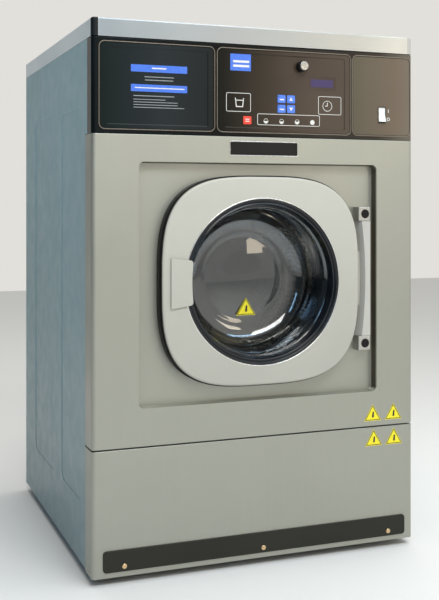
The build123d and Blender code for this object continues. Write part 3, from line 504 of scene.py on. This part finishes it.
def circle(r, steps=40, start=0.0, sweep=360.0):
    """Points of a circle or, if the sweep is less than a full turn, of an arc with both its ends."""
    full = sweep >= 360
    count = steps if full else steps + 1
    angles = [math.radians(start + sweep * i / steps) for i in range(count)]
    return [(r * math.cos(a), r * math.sin(a)) for a in angles]


def at(points, x, z):
    """The points, moved to (x, z)."""
    return [(px + x, pz + z) for px, pz in points]


def flat(name, outlines, y, thick, look, body, bevel=0.0):
    """Thin plates with these (x, z) outlines; they face -Y from y and are `thick` deep."""
    bm = bmesh.new()
    for outline in outlines:
        loop = [bm.verts.new((x, y + thick, z)) for x, z in outline]
        face = bm.faces.new(loop)
        made = bmesh.ops.extrude_face_region(bm, geom=[face])
        front = [v for v in made["geom"] if isinstance(v, bmesh.types.BMVert)]
        for v in front:
            v.co.y = y
        if bevel:
            centre = Vector((sum(v.co.x for v in front), 0, sum(v.co.z for v in front))) / len(front)
            for v in front:
                away = Vector((v.co.x, 0, v.co.z)) - centre
                v.co.x -= away.x * bevel / max(away.length, 1e-6)
                v.co.z -= away.z * bevel / max(away.length, 1e-6)
    return add(name, bmesh_to_mesh(bm, name), look, body, smooth=False)


def along_loop(loop, k):
    """A point of a closed (x, z) loop and the sideways direction there."""
    before, here, after = (Vector(loop[(k + s) % len(loop)]) for s in (-1, 0, 1))
    along = ((here - before).normalized() + (after - here).normalized()).normalized()
    return here, Vector((along.y, -along.x))


def outline_strip(name, loops, width, y, thick, look, body):
    """Closed printed or raised lines of one width, following (x, z) loops."""
    bm = bmesh.new()
    for loop in loops:
        rings = []
        for k in range(len(loop)):
            here, side = along_loop(loop, k)
            side = side * width / 2
            inner, outer = here - side, here + side
            rings.append([
                bm.verts.new((inner.x, y + thick, inner.y)), bm.verts.new((inner.x, y, inner.y)),
                bm.verts.new((outer.x, y, outer.y)), bm.verts.new((outer.x, y + thick, outer.y)),
            ])
        for k in range(len(rings)):
            a, b = rings[k], rings[(k + 1) % len(rings)]
            for c in range(4):
                d = (c + 1) % 4
                bm.faces.new((a[c], b[c], b[d], a[d]))
    return add(name, bmesh_to_mesh(bm, name), look, body, smooth=False)


def bead(name, loop, y, r, look, body, steps=8):
    """Half-round raised bead that follows a closed (x, z) loop on a face at y."""
    verts = []
    for k in range(len(loop)):
        here, side = along_loop(loop, k)
        for i in range(steps + 1):
            a = math.pi * i / steps
            p = here + side * r * math.cos(a)
            verts.append((p.x, y - r * math.sin(a), p.y))
    mesh = mesh_of(name, verts, ring_faces(len(loop), steps + 1))
    return add(name, finish_mesh(mesh), look, body)


# ---------------------------------------------------------------- drum and tub

DRUM_LOW, DRUM_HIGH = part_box("drum_shell")
DRUM_R = (DRUM_HIGH.x - DRUM_LOW.x) / 2
DRUM_MOUTH_R = 150 * MM
DRUM_HUB_R = 20 * MM
DRUM_LIP = 4 * MM
DRUM_FRONT = DRUM_LOW.y + DRUM_LIP
DRUM_BAND = 14 * MM
DRUM_SHEET = 1.5 * MM
HOLE_PITCH = 12.5 * MM
HOLE_R = 2.7 * MM


def perforated_drum():
    """Drum of pierced sheet with plain bands at its ends, a front ring with a rolled lip and a back."""
    bm = bmesh.new()
    around = round(2 * math.pi * DRUM_R / HOLE_PITCH)
    rows = int((DRUM_HIGH.y - DRUM_FRONT - 2 * DRUM_BAND) / HOLE_PITCH)
    start = DRUM_FRONT + DRUM_BAND

    def wall(u, y):
        """Point of the wall, `u` holes round from +X."""
        a = 2 * math.pi * u / around
        return bm.verts.new((DRUM_R * math.cos(a), y, AXIS_Z + DRUM_R * math.sin(a)))

    corner = [[wall(u, start + row * HOLE_PITCH) for u in range(around)] for row in range(rows + 1)]
    share = HOLE_R / HOLE_PITCH
    for row in range(rows):
        for u in range(around):
            n = (u + 1) % around
            square = [corner[row][u], corner[row][n], corner[row + 1][n], corner[row + 1][u]]
            hole = []
            for k in range(8):
                a = math.radians(225 + 45 * k)
                y = start + (row + 0.5 + share * math.sin(a)) * HOLE_PITCH
                hole.append(wall(u + 0.5 + share * math.cos(a), y))
            for side in range(4):
                a, b = square[side], square[(side + 1) % 4]
                h = [hole[(2 * side + s) % 8] for s in range(3)]
                bm.faces.new((a, h[1], h[0]))
                bm.faces.new((a, b, h[1]))
                bm.faces.new((b, h[2], h[1]))
    for row, y in ((0, DRUM_FRONT), (rows, DRUM_HIGH.y)):
        rim = [wall(u, y) for u in range(around)]
        for u in range(around):
            n = (u + 1) % around
            bm.faces.new((corner[row][u], corner[row][n], rim[n], rim[u]))
        if row == 0:
            turns = [(DRUM_MOUTH_R + 6 * MM, 0), (DRUM_MOUTH_R, 0), (DRUM_MOUTH_R, -DRUM_LIP)]
        else:
            turns = [(DRUM_HUB_R, 0)]
        for r, dy in turns:
            ring = []
            for u in range(around):
                a = 2 * math.pi * u / around
                ring.append(bm.verts.new((r * math.cos(a), y + dy, AXIS_Z + r * math.sin(a))))
            for u in range(around):
                n = (u + 1) % around
                bm.faces.new((rim[u], rim[n], ring[n], ring[u]))
            rim = ring
    drum = add("drum_pierced", bmesh_to_mesh(bm, "drum_pierced"), "drum_steel", "drum")
    skin = drum.modifiers.new("sheet", "SOLIDIFY")
    skin.thickness = DRUM_SHEET
    skin.offset = -1.0
    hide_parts("drum_shell")


perforated_drum()

GASKET_LOW, GASKET_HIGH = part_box("door_gasket")
GASKET_R = (GASKET_HIGH.x - GASKET_LOW.x) / 2


def gasket():
    """Rubber bellows between the port and the tub: a flange, three folds and a cuff."""
    y0, y1 = GASKET_LOW.y, GASKET_HIGH.y
    outer = [(GASKET_R, y0), (GASKET_R, y0 + 2.4 * MM), (160 * MM, y0 + 3.2 * MM)]
    folds, steps = 3, 36
    length = y1 - y0 - 18 * MM
    ripple = []
    for i in range(steps + 1):
        t = i / steps
        y = y0 + 5 * MM + t * length
        ripple.append((158.6 * MM + 2.6 * MM * math.sin(2 * math.pi * folds * t), y))
    cuff_out = [(159 * MM, y1 - 10 * MM), (159 * MM, y1)]
    cuff_in = [(155.3 * MM, y1), (155.3 * MM, y1 - 12 * MM)]
    inner = [(r - 2.6 * MM, y) for r, y in reversed(ripple)]
    lip = [(153.6 * MM, y0 + 3 * MM), (153.2 * MM, y0 + 1.0 * MM), (154.4 * MM, y0)]
    profile = outer + ripple + cuff_out + cuff_in + inner + lip
    piece = add("door_bellows", lathe("door_bellows", profile), "rubber", None)
    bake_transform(piece)
    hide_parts("door_gasket")


gasket()


SPRING_LOW, SPRING_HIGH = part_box("suspension_springs")
SPRING_R = 31 * MM
WIRE_R = 4 * MM
SPRING_TURNS = 9


def coil_spring(name, x, y):
    """Compression spring: round wire swept round its helix between its two seats."""
    low, high = SPRING_LOW.z, SPRING_HIGH.z
    steps, sides = SPRING_TURNS * 28, 8
    verts = []
    for i in range(steps + 1):
        t = i / steps
        a = 2 * math.pi * SPRING_TURNS * t
        z = low + WIRE_R + (high - low - 2 * WIRE_R) * t
        for k in range(sides):
            b = 2 * math.pi * k / sides
            reach = SPRING_R - WIRE_R + WIRE_R * math.cos(b)
            verts.append((x + reach * math.cos(a), y + reach * math.sin(a), z + WIRE_R * math.sin(b)))
    faces = ring_faces(steps + 1, sides, closed=False)
    faces.append(tuple(range(sides)))
    faces.append(tuple(steps * sides + k for k in reversed(range(sides))))
    piece = add(name, finish_mesh(mesh_of(name, verts, faces)), "steel", None)
    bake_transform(piece)
    return piece


SPRING_X = (SPRING_LOW.x + SPRING_R, SPRING_HIGH.x - SPRING_R)
SPRING_Y = (SPRING_LOW.y + SPRING_R, SPRING_HIGH.y - SPRING_R)
SPRING_SPOTS = [(x, y) for y in SPRING_Y for x in SPRING_X]
for number, (spring_x, spring_y) in enumerate(SPRING_SPOTS):
    spring = coil_spring(f"coil_spring_{number + 1}", spring_x, spring_y)
    if number == 0:
        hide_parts("suspension_springs")


def drain_sleeve():
    """Corrugated sleeve from the sump to the drain valve; its lower cuff stays on the valve."""
    low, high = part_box("drain_hose")
    x, y = (low.x + high.x) / 2, (low.y + high.y) / 2
    neck = (high.x - low.x) / 2 - 4.5 * MM
    top, bottom = high.z - 30 * MM, low.z + 7 * MM
    outer = [(neck + 4.5 * MM, high.z), (neck + 4.5 * MM, top + 1 * MM)]
    ripples, steps = 5, 50
    for i in range(steps + 1):
        t = i / steps
        r = neck + (0.9 - 1.1 * math.cos(2 * math.pi * ripples * t)) * MM
        outer.append((r, top - t * (top - bottom)))
    outer.append((neck + 2 * MM, low.z))
    wall = 1.8 * MM
    inner = [(neck - 2 * MM, low.z)] + [(r - wall, z) for r, z in reversed(outer[2:-1])]
    inner += [(neck + 0.2 * MM, top + 1 * MM), (neck + 0.2 * MM, high.z)]
    verts = []
    profile, turns = outer + inner, 72
    for i in range(turns):
        a = 2 * math.pi * i / turns
        verts += [(x + r * math.cos(a), y + r * math.sin(a), z) for r, z in profile]
    mesh = mesh_of("drain_sleeve", verts, ring_faces(turns, len(profile)))
    piece = add("drain_sleeve", finish_mesh(mesh), "rubber", None)
    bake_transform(piece)
    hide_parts("drain_hose")


drain_sleeve()

# ---------------------------------------------------------------- door


def arc(r, y, radius, start, sweep, steps=6):
    """Points of an arc about (r, y) in a lathe profile."""
    angles = [math.radians(start + sweep * i / steps) for i in range(steps + 1)]
    return [(r + radius * math.cos(a), y + radius * math.sin(a)) for a in angles]


def window_ring():
    """Rubber window ring: a rounded outer lip, a groove and a long inner slope."""
    y0 = RING_LOW.y
    r = WINDOW_R
    profile = arc(r - 1.8 * MM, y0 + 1.8 * MM, 1.8 * MM, 0, -90)
    profile += arc(r - 4.2 * MM, y0 + 1.8 * MM, 1.8 * MM, 270, -70)
    profile += [(r - 6.6 * MM, y0 + 3.4 * MM), (r - 7.4 * MM, y0 + 2.6 * MM)]
    profile += arc(r - 10.5 * MM, y0 + 3.6 * MM, 2.4 * MM, 300, -90)
    profile += [(150 * MM, y0 + 9.5 * MM), (148 * MM, y0 + 14 * MM)]
    profile += [(147.5 * MM, y0 + 18.4 * MM), (r, y0 + 18.4 * MM)]
    mesh = lathe("window_ring", profile, 200)
    piece = add("window_ring", mesh, "ring_rubber", "door")
    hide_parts("door_ring")


window_ring()

PLATE_LOW, PLATE_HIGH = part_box("door_back_plate")
DOOR_FACE_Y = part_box("door_frame")[0].y
DOOR_POWER = 3.3


def door_outline(grow, points=200):
    """Superellipse of the door, grown outwards."""
    half, centre = (PLATE_HIGH - PLATE_LOW) / 2, (PLATE_LOW + PLATE_HIGH) / 2
    half_x, half_z = half.x + grow, half.z + grow

    def reach(value):
        """The share of the half size that this sine or cosine gives."""
        return math.copysign(abs(value) ** (2 / DOOR_POWER), value)

    angles = [2 * math.pi * k / points for k in range(points)]
    return [(centre.x + half_x * reach(math.cos(a)), centre.z + half_z * reach(math.sin(a))) for a in angles]


def door_band(name, y0, y1, inner, outer, look, round_over=0.6 * MM):
    """Closed band round the door with a rounded front edge."""
    section = [(inner, y0), (outer - round_over, y0), (outer - 0.3 * round_over, y0 + 0.3 * round_over),
               (outer, y0 + round_over), (outer, y1), (inner, y1)]
    loops = [(door_outline(grow), y) for grow, y in section]
    count = len(loops[0][0])
    verts = [(loop[k][0], y, loop[k][1]) for k in range(count) for loop, y in loops]
    mesh = mesh_of(name, verts, ring_faces(count, len(section)))
    return add(name, finish_mesh(mesh), look, "door")


door_band("door_edge_trim", DOOR_FACE_Y + 2.4 * MM, DOOR_FACE_Y + 8.6 * MM, -0.8 * MM, 0.25 * MM,
          "door_edge")
door_band("door_edge_seal", DOOR_FACE_Y + 8.2 * MM, PLATE_HIGH.y - 1 * MM, -0.8 * MM, 2.4 * MM,
          "edge_rubber", 1.2 * MM)
trim = [(-0.6, 1.6)]
trim += [(0.5 - 1.1 * math.cos(a), 0.3 - 0.9 * math.sin(a)) for a in map(math.radians, range(0, 181, 30))]
trim += [(1.6, 1.6)]
trim = [(WINDOW_R + r * MM, DOOR_FACE_Y + y * MM) for r, y in trim]
add("window_edge_trim", lathe("window_edge_trim", trim, 200), "polished", "door")

GLASS_LOW, GLASS_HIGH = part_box("door_glass")


def bowl():
    """Pressed glass bowl: flange, near-straight wall, rounded shoulder, raised rim, domed bottom."""
    y0 = GLASS_LOW.y
    rim = (GLASS_HIGH.x - GLASS_LOW.x) / 2

    def shoulder(a, b, c, steps=18):
        """Points of a quadratic curve from a past b to c."""
        shares = [i / steps for i in range(steps + 1)]
        return [
            tuple(a[k] * (1 - t) ** 2 + 2 * b[k] * t * (1 - t) + c[k] * t * t for k in (0, 1))
            for t in shares
        ]

    def mm(pairs):
        """Profile points from (radius, depth behind the flange) in millimetres."""
        return [(r * MM, y0 + y * MM) for r, y in pairs]

    inside = mm([(146, 0), (143, 23), (140, 45)])
    inside += shoulder(*mm([(139.4, 50), (134, 88), (100, 92.4)]))
    inside += mm([(96, 92.6), (90, 93.2), (85.5, 95)])
    inside += [(r * MM, y0 + (90.0 + 5.0 * (r / 84) ** 2) * MM) for r in range(84, 0, -6)]
    outside = [(r * MM, y0 + (97.6 + 1.8 * (r / 84.5) ** 4) * MM) for r in range(6, 90, 6)]
    outside += mm([(87, 99.0), (92, 97.8), (100, 97.4)])
    outside += shoulder(*mm([(101, 97.3), (139.6, 92), (145, 48)]))
    outside += mm([(148.5, 25), (151, 5.5), (161.0, 5.5)])
    outside += [(rim, y0 + 4.8 * MM), (rim, y0 + 0.6 * MM), (161.0 * MM, y0)]
    profile = inside + [(0.0, y0 + 90.0 * MM), (0.0, y0 + 97.6 * MM)] + outside
    piece = add("window_bowl", lathe("window_bowl", profile, 200), "glass", "door")
    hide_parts("door_glass")


bowl()

HINGE_LOW, HINGE_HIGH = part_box("hinge_blocks")
BLOCK_H = 28.8 * MM
PLUG_X = HINGE_LOW.x + 15.4 * MM
PLUG_R = 9.2 * MM
for number, plug_z in enumerate((HINGE_LOW.z + BLOCK_H / 2, HINGE_HIGH.z - BLOCK_H / 2)):
    flat(f"hinge_plug_{number + 1}", [at(circle(PLUG_R), PLUG_X, plug_z)],
         HINGE_LOW.y - 0.2 * MM, 1.6 * MM, "black_plastic", "cabinet", 0.8 * MM)

# ---------------------------------------------------------------- console


def loop_round(piece, grow, radius, *steps):
    """Rounded rectangle round a piece's front, `grow` larger than it."""
    low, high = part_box(piece)
    loop = rounded(high.x - low.x + grow, high.z - low.z + grow, radius, *steps)
    return at(loop, *((low + high) / 2).xz)


# bay beads in the painted-highlight brown
for name in BAYS:
    loop = loop_round(name, 4 * MM, 11 * MM, 8)
    bead(f"{name}_bead", loop, FRONT_Y + 0.1 * MM, 0.9 * MM,
         "console_bead_highlight", "cabinet")

BAY_RECESS = 1.4 * MM
INK = 0.15 * MM
INK_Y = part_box("control_panel")[0].y + BAY_RECESS - INK


def symbol(name, outlines, y=INK_Y):
    """Filled shapes in white ink."""
    return flat(name, outlines, y, INK, "white_ink", "cabinet")


def white_line(name, loops, width, y=INK_Y):
    """Closed lines in white ink."""
    return outline_strip(name, loops, width, y, INK, "white_ink", "cabinet")


CENTRE = middle("control_panel")
STOP = middle("stop_key")
KEY_BLOCK = (middle("select_key_upper") + middle("down_key")) / 2
TUB_BOX = (KEY_BLOCK.x - 102.6 * MM, KEY_BLOCK.z + 0.1 * MM)
CLOCK_BOX = (KEY_BLOCK.x + 97.2 * MM, KEY_BLOCK.z)
CLOCK = (CLOCK_BOX[0] - 5.5 * MM, CLOCK_BOX[1] - 1 * MM)
PHASE_BOX = (KEY_BLOCK.x + 6.0 * MM, STOP.z + 2.8 * MM)
BOX_LINE = 1.0 * MM
BOX_CORNER = 2.5 * MM
white_line(
    "panel_outlines",
    [
        at(rounded(51 * MM, 36 * MM, BOX_CORNER), *TUB_BOX),
        at(rounded(51 * MM, 36 * MM, BOX_CORNER), *CLOCK_BOX),
        at(rounded(136 * MM, 21.6 * MM, BOX_CORNER), *PHASE_BOX),
        at(circle(10.2 * MM), *CLOCK),
    ],
    BOX_LINE,
)
MINUTE_HAND = [(-0.7 * MM, 0), (0.7 * MM, 0), (0.7 * MM, 7 * MM), (-0.7 * MM, 7 * MM)]
HOUR_HAND = [(-5 * MM, -0.7 * MM), (0, -0.7 * MM), (0, 0.7 * MM), (-5 * MM, 0.7 * MM)]
symbol("clock_hands", [at(MINUTE_HAND, *CLOCK), at(HOUR_HAND, *CLOCK)])


def washtub(x, z, size):
    """Open tub with a line of water, drawn as four bars."""
    left = [(-1.0, 0.9), (-0.82, 0.9), (-0.62, -0.8), (-0.8, -0.8)]
    right = [(0.8, -0.8), (0.62, -0.8), (0.82, 0.9), (1.0, 0.9)]
    base = [(-0.8, -0.98), (0.8, -0.98), (0.8, -0.8), (-0.8, -0.8)]
    water = [(-0.86, 0.35), (0.86, 0.35), (0.86, 0.5), (-0.86, 0.5)]
    bars = (left, right, base, water)
    return [at([(px * size, pz * size) for px, pz in bar], x, z) for bar in bars]


symbol("washtub_icon", washtub(TUB_BOX[0] + 2 * MM, TUB_BOX[1], 9.5 * MM))
PHASE_FILLS = (180, 180, 230, 360)
for number, fill in enumerate(PHASE_FILLS):
    pie = (PHASE_BOX[0] + (-50 + 34 * number) * MM, PHASE_BOX[1] - 3.2 * MM)
    white_line(f"phase_ring_{number + 1}", [at(circle(4.6 * MM, 28), *pie)], 0.7 * MM)
    wedge = circle(4.4 * MM, 24, 270 - fill / 2, fill)
    if fill not in (180, 360):
        wedge = [(0, 0)] + wedge
    symbol(f"phase_fill_{number + 1}", [at(wedge, *pie)])

LABEL = at(rounded(43.6 * MM, 33.4 * MM, 1.2 * MM), CENTRE.x - 96.2 * MM, CENTRE.z + 55.4 * MM)
flat("panel_label", [LABEL], INK_Y, INK, "label_blue", "cabinet")

DISPLAY = middle("display_window")
flat("display_glow", [at(rounded(50 * MM, 15.6 * MM, 1 * MM), DISPLAY.x, DISPLAY.z)],
     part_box("display_window")[0].y - INK, INK, "glow", "cabinet")

KEY_INK = 0.12 * MM
ARROW = [(x * 7 * MM, z * 7 * MM) for x, z in ((-0.58, -0.42), (0.58, -0.42), (0, 0.58))]


def on_key(key, shapes, look, suffix):
    """Shapes printed on the middle of a key; they move with it."""
    spot = middle(key)
    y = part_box(key)[0].y - KEY_INK
    shapes = [at(shape, spot.x, spot.z) for shape in shapes]
    flat(f"{key}_{suffix}", shapes, y, KEY_INK, look, key)


on_key("up_key", [ARROW], "white_ink", "arrow")
on_key("down_key", [[(-x, -z) for x, z in ARROW]], "white_ink", "arrow")
for key in KEYS[:2]:
    bar = rounded(10 * MM, 2.6 * MM, 0.8 * MM)
    on_key(key, [at(bar, 0.5 * MM, -1.2 * MM)], "white_ink", "bar")
    on_key(key, [at(circle(1.1 * MM, 16), -6.2 * MM, 5.2 * MM)], "black_ink", "lamp")
stop_bar = rounded(9 * MM, 1.6 * MM, 0.5 * MM)
on_key("stop_key", [at(stop_bar, 0, 2 * MM), at(stop_bar, 0, -2 * MM)], "white_ink", "bars")

DRAWER = middle("dispenser_front")
DRAWER_INK_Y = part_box("dispenser_front")[0].y + BAY_RECESS - INK
for number, rise in enumerate((34.2, -3.0)):
    bar = at(rounded(112 * MM, 13.6 * MM, 0.8 * MM), DRAWER.x + 3 * MM, DRAWER.z + rise * MM)
    flat(f"drawer_bar_{number + 1}", [bar], DRAWER_INK_Y, INK, "label_blue", "drawer")


def rule(x0, x1, z, height):
    """Thin upright rectangle that stands for a line of text; all in millimetres."""
    low, high = (z - height / 2) * MM, (z + height / 2) * MM
    return [(x0 * MM, low), (x1 * MM, low), (x1 * MM, high), (x0 * MM, high)]


def rules(name, look, body, y, thick, *lines):
    """A piece with a rule for each line of text."""
    flat(name, [rule(*line) for line in lines], y, thick, look, body)


OVERPRINT = 0.1 * MM
rules("drawer_lines", "grey_ink", "drawer", DRAWER_INK_Y, INK,
      (-240.8, -182.6, 954.4, 1.5), (-240.0, -184.0, 948.4, 1.5), (-262.7, -181.6, 918.2, 1.5),
      (-262.7, -199.4, 911.4, 1.2), (-262.7, -174.7, 906.4, 1.2), (-262.7, -174.7, 901.4, 1.2),
      (-262.7, -161.6, 896.4, 1.2))
rules("drawer_bar_lines", "white_ink", "drawer", DRAWER_INK_Y - OVERPRINT, OVERPRINT,
      (-226.5, -197.3, 971.0, 2.4), (-260.0, -161.0, 933.4, 1.8))
rules("panel_label_lines", "white_ink", "cabinet", INK_Y - OVERPRINT, OVERPRINT,
      (-60.5, -26.5, 993.0, 4.4), (-60.5, -26.5, 984.3, 4.4))

ROCKER = middle("rocker")
POWER_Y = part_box("dispenser_front")[0].y - INK
on_mark = at(rounded(1.5 * MM, 7 * MM, 0.4 * MM), ROCKER.x + 15 * MM, ROCKER.z + 8 * MM)
off_mark = at(circle(3.0 * MM, 24), ROCKER.x + 15 * MM, ROCKER.z - 9 * MM)
symbol("switch_on_mark", [on_mark], POWER_Y)
white_line("switch_off_mark", [off_mark], 1.3 * MM, POWER_Y)

# ---------------------------------------------------------------- badge and stickers

bead("badge_rim", loop_round("badge_plate", 3 * MM, 2 * MM), FRONT_Y, 0.8 * MM,
     "polished", "cabinet")

FILM = 0.2 * MM
LINE_SCALE = 0.86
MARK = ((-0.05, 0.0), (0.06, 0.0), (0.08, 0.3), (0.0, 0.3))


def hazard_sticker(name, x, base_z, y, width, body):
    """Yellow triangle with a dark border line and a plain bar in place of a picture."""
    height = width * 0.84
    corners = [(-width / 2, 0), (width / 2, 0), (0, height)]
    flat(f"{name}_film", [at(corners, x, base_z)], y - FILM, FILM, "yellow", body)
    inner = [(px * LINE_SCALE, height * 0.055 + pz * LINE_SCALE) for px, pz in corners]
    outline_strip(f"{name}_line", [at(inner, x, base_z)], width * 0.06, y - FILM * 2, FILM,
                  "black_ink", body)
    mark = [(px * width, height * 0.2 + pz * width) for px, pz in MARK]
    flat(f"{name}_mark", [at(mark, x, base_z)], y - FILM * 2, FILM,
         "black_ink", body)


hazard_sticker("glass_sticker", 5 * MM, AXIS_Z - 76.8 * MM, GLASS_LOW.y + 89.6 * MM, 43 * MM, "door")
STICKERS = ((248.7, 11.0), (297.2, 11.0), (251.1, -40.6), (298.5, -40.6))
for number, (x, rise) in enumerate(STICKERS):
    hazard_sticker(f"sticker_{number + 1}", x * MM, SEAM_Z + rise * MM, FRONT_Y, 40 * MM, "cabinet")

# ---------------------------------------------------------------- room

REACH = 6
floor_corners = [(-REACH, -REACH, 0), (REACH, -REACH, 0), (REACH, REACH, 0), (-REACH, REACH, 0)]
floor_mesh = mesh_of("floor", floor_corners, [(0, 1, 2, 3)])
floor = bpy.data.objects.new("floor", floor_mesh)
bpy.context.scene.collection.objects.link(floor)
floor_mesh.materials.append(Shader("pale_floor", (0.86, 0.86, 0.85), 0.75).material)

world = bpy.data.worlds.new("studio")
bpy.context.scene.world = world
world.use_nodes = True
sky = world.node_tree
direction = sky.nodes.new("ShaderNodeTexCoord").outputs["Generated"]
split = sky.nodes.new("ShaderNodeSeparateXYZ")
sky.links.new(direction, split.inputs["Vector"])
sweep = sky.nodes.new("ShaderNodeMapRange")
sweep.interpolation_type = "SMOOTHSTEP"
sweep.inputs["From Min"].default_value = -0.75
sweep.inputs["From Max"].default_value = 0.15
sky.links.new(split.outputs["X"], sweep.inputs["Value"])
tones = sky.nodes.new("ShaderNodeValToRGB")
tones.color_ramp.elements[0].color = (0.07, 0.10, 0.12, 1)
tones.color_ramp.elements[1].color = (0.95, 0.93, 0.88, 1)
sky.links.new(sweep.outputs["Result"], tones.inputs["Fac"])
sky.links.new(tones.outputs["Color"], sky.nodes["Background"].inputs["Color"])
sky.nodes["Background"].inputs["Strength"].default_value = 0.8


def area_light(name, place, target, size, power, colour):
    """Rectangular lamp that looks from its place to its target."""
    data = bpy.data.lights.new(name, "AREA")
    data.shape = "RECTANGLE"
    data.size, data.size_y = size
    data.energy = power
    data.color = colour
    light = bpy.data.objects.new(name, data)
    light.location = place
    light.rotation_euler = (Vector(target) - Vector(place)).to_track_quat("-Z", "Y").to_euler()
    bpy.context.scene.collection.objects.link(light)


DRUM_LAMP = (0.03, DRUM_FRONT + 0.03, AXIS_Z + 0.185)
DRUM_TARGET = (0.14, DRUM_HIGH.y - 0.05, AXIS_Z - 0.02)
LIGHTS = (
    ("window", (1.55, -3.2, 1.25), (0, 0, 0.7), (0.42, 0.75), 4, (1.0, 0.86, 0.66)),
    ("key", (-0.2, -2.8, 3.0), (0, 0, 0.6), (2.4, 1.2), 60, (1.0, 0.97, 0.91)),
    ("strip", (0.7, -1.9, 2.5), (0, -0.3, 0.5), (2.4, 0.3), 15, (0.45, 0.72, 1.0)),
    ("fill", (-2.3, -2.5, 2.1), (0, -0.3, 0.5), (0.5, 1.5), 9, (0.40, 0.68, 1.0)),
    ("top", (0.2, 0.0, 3.2), (0, 0, 1.0), (2.0, 2.0), 30, (1, 1, 1)),
    ("drum_lamp", DRUM_LAMP, DRUM_TARGET, (0.2, 0.05), 0.5, (1.0, 0.84, 0.66)),
)
for row in LIGHTS:
    area_light(*row)
bpy.context.scene.view_settings.view_transform = "Standard"
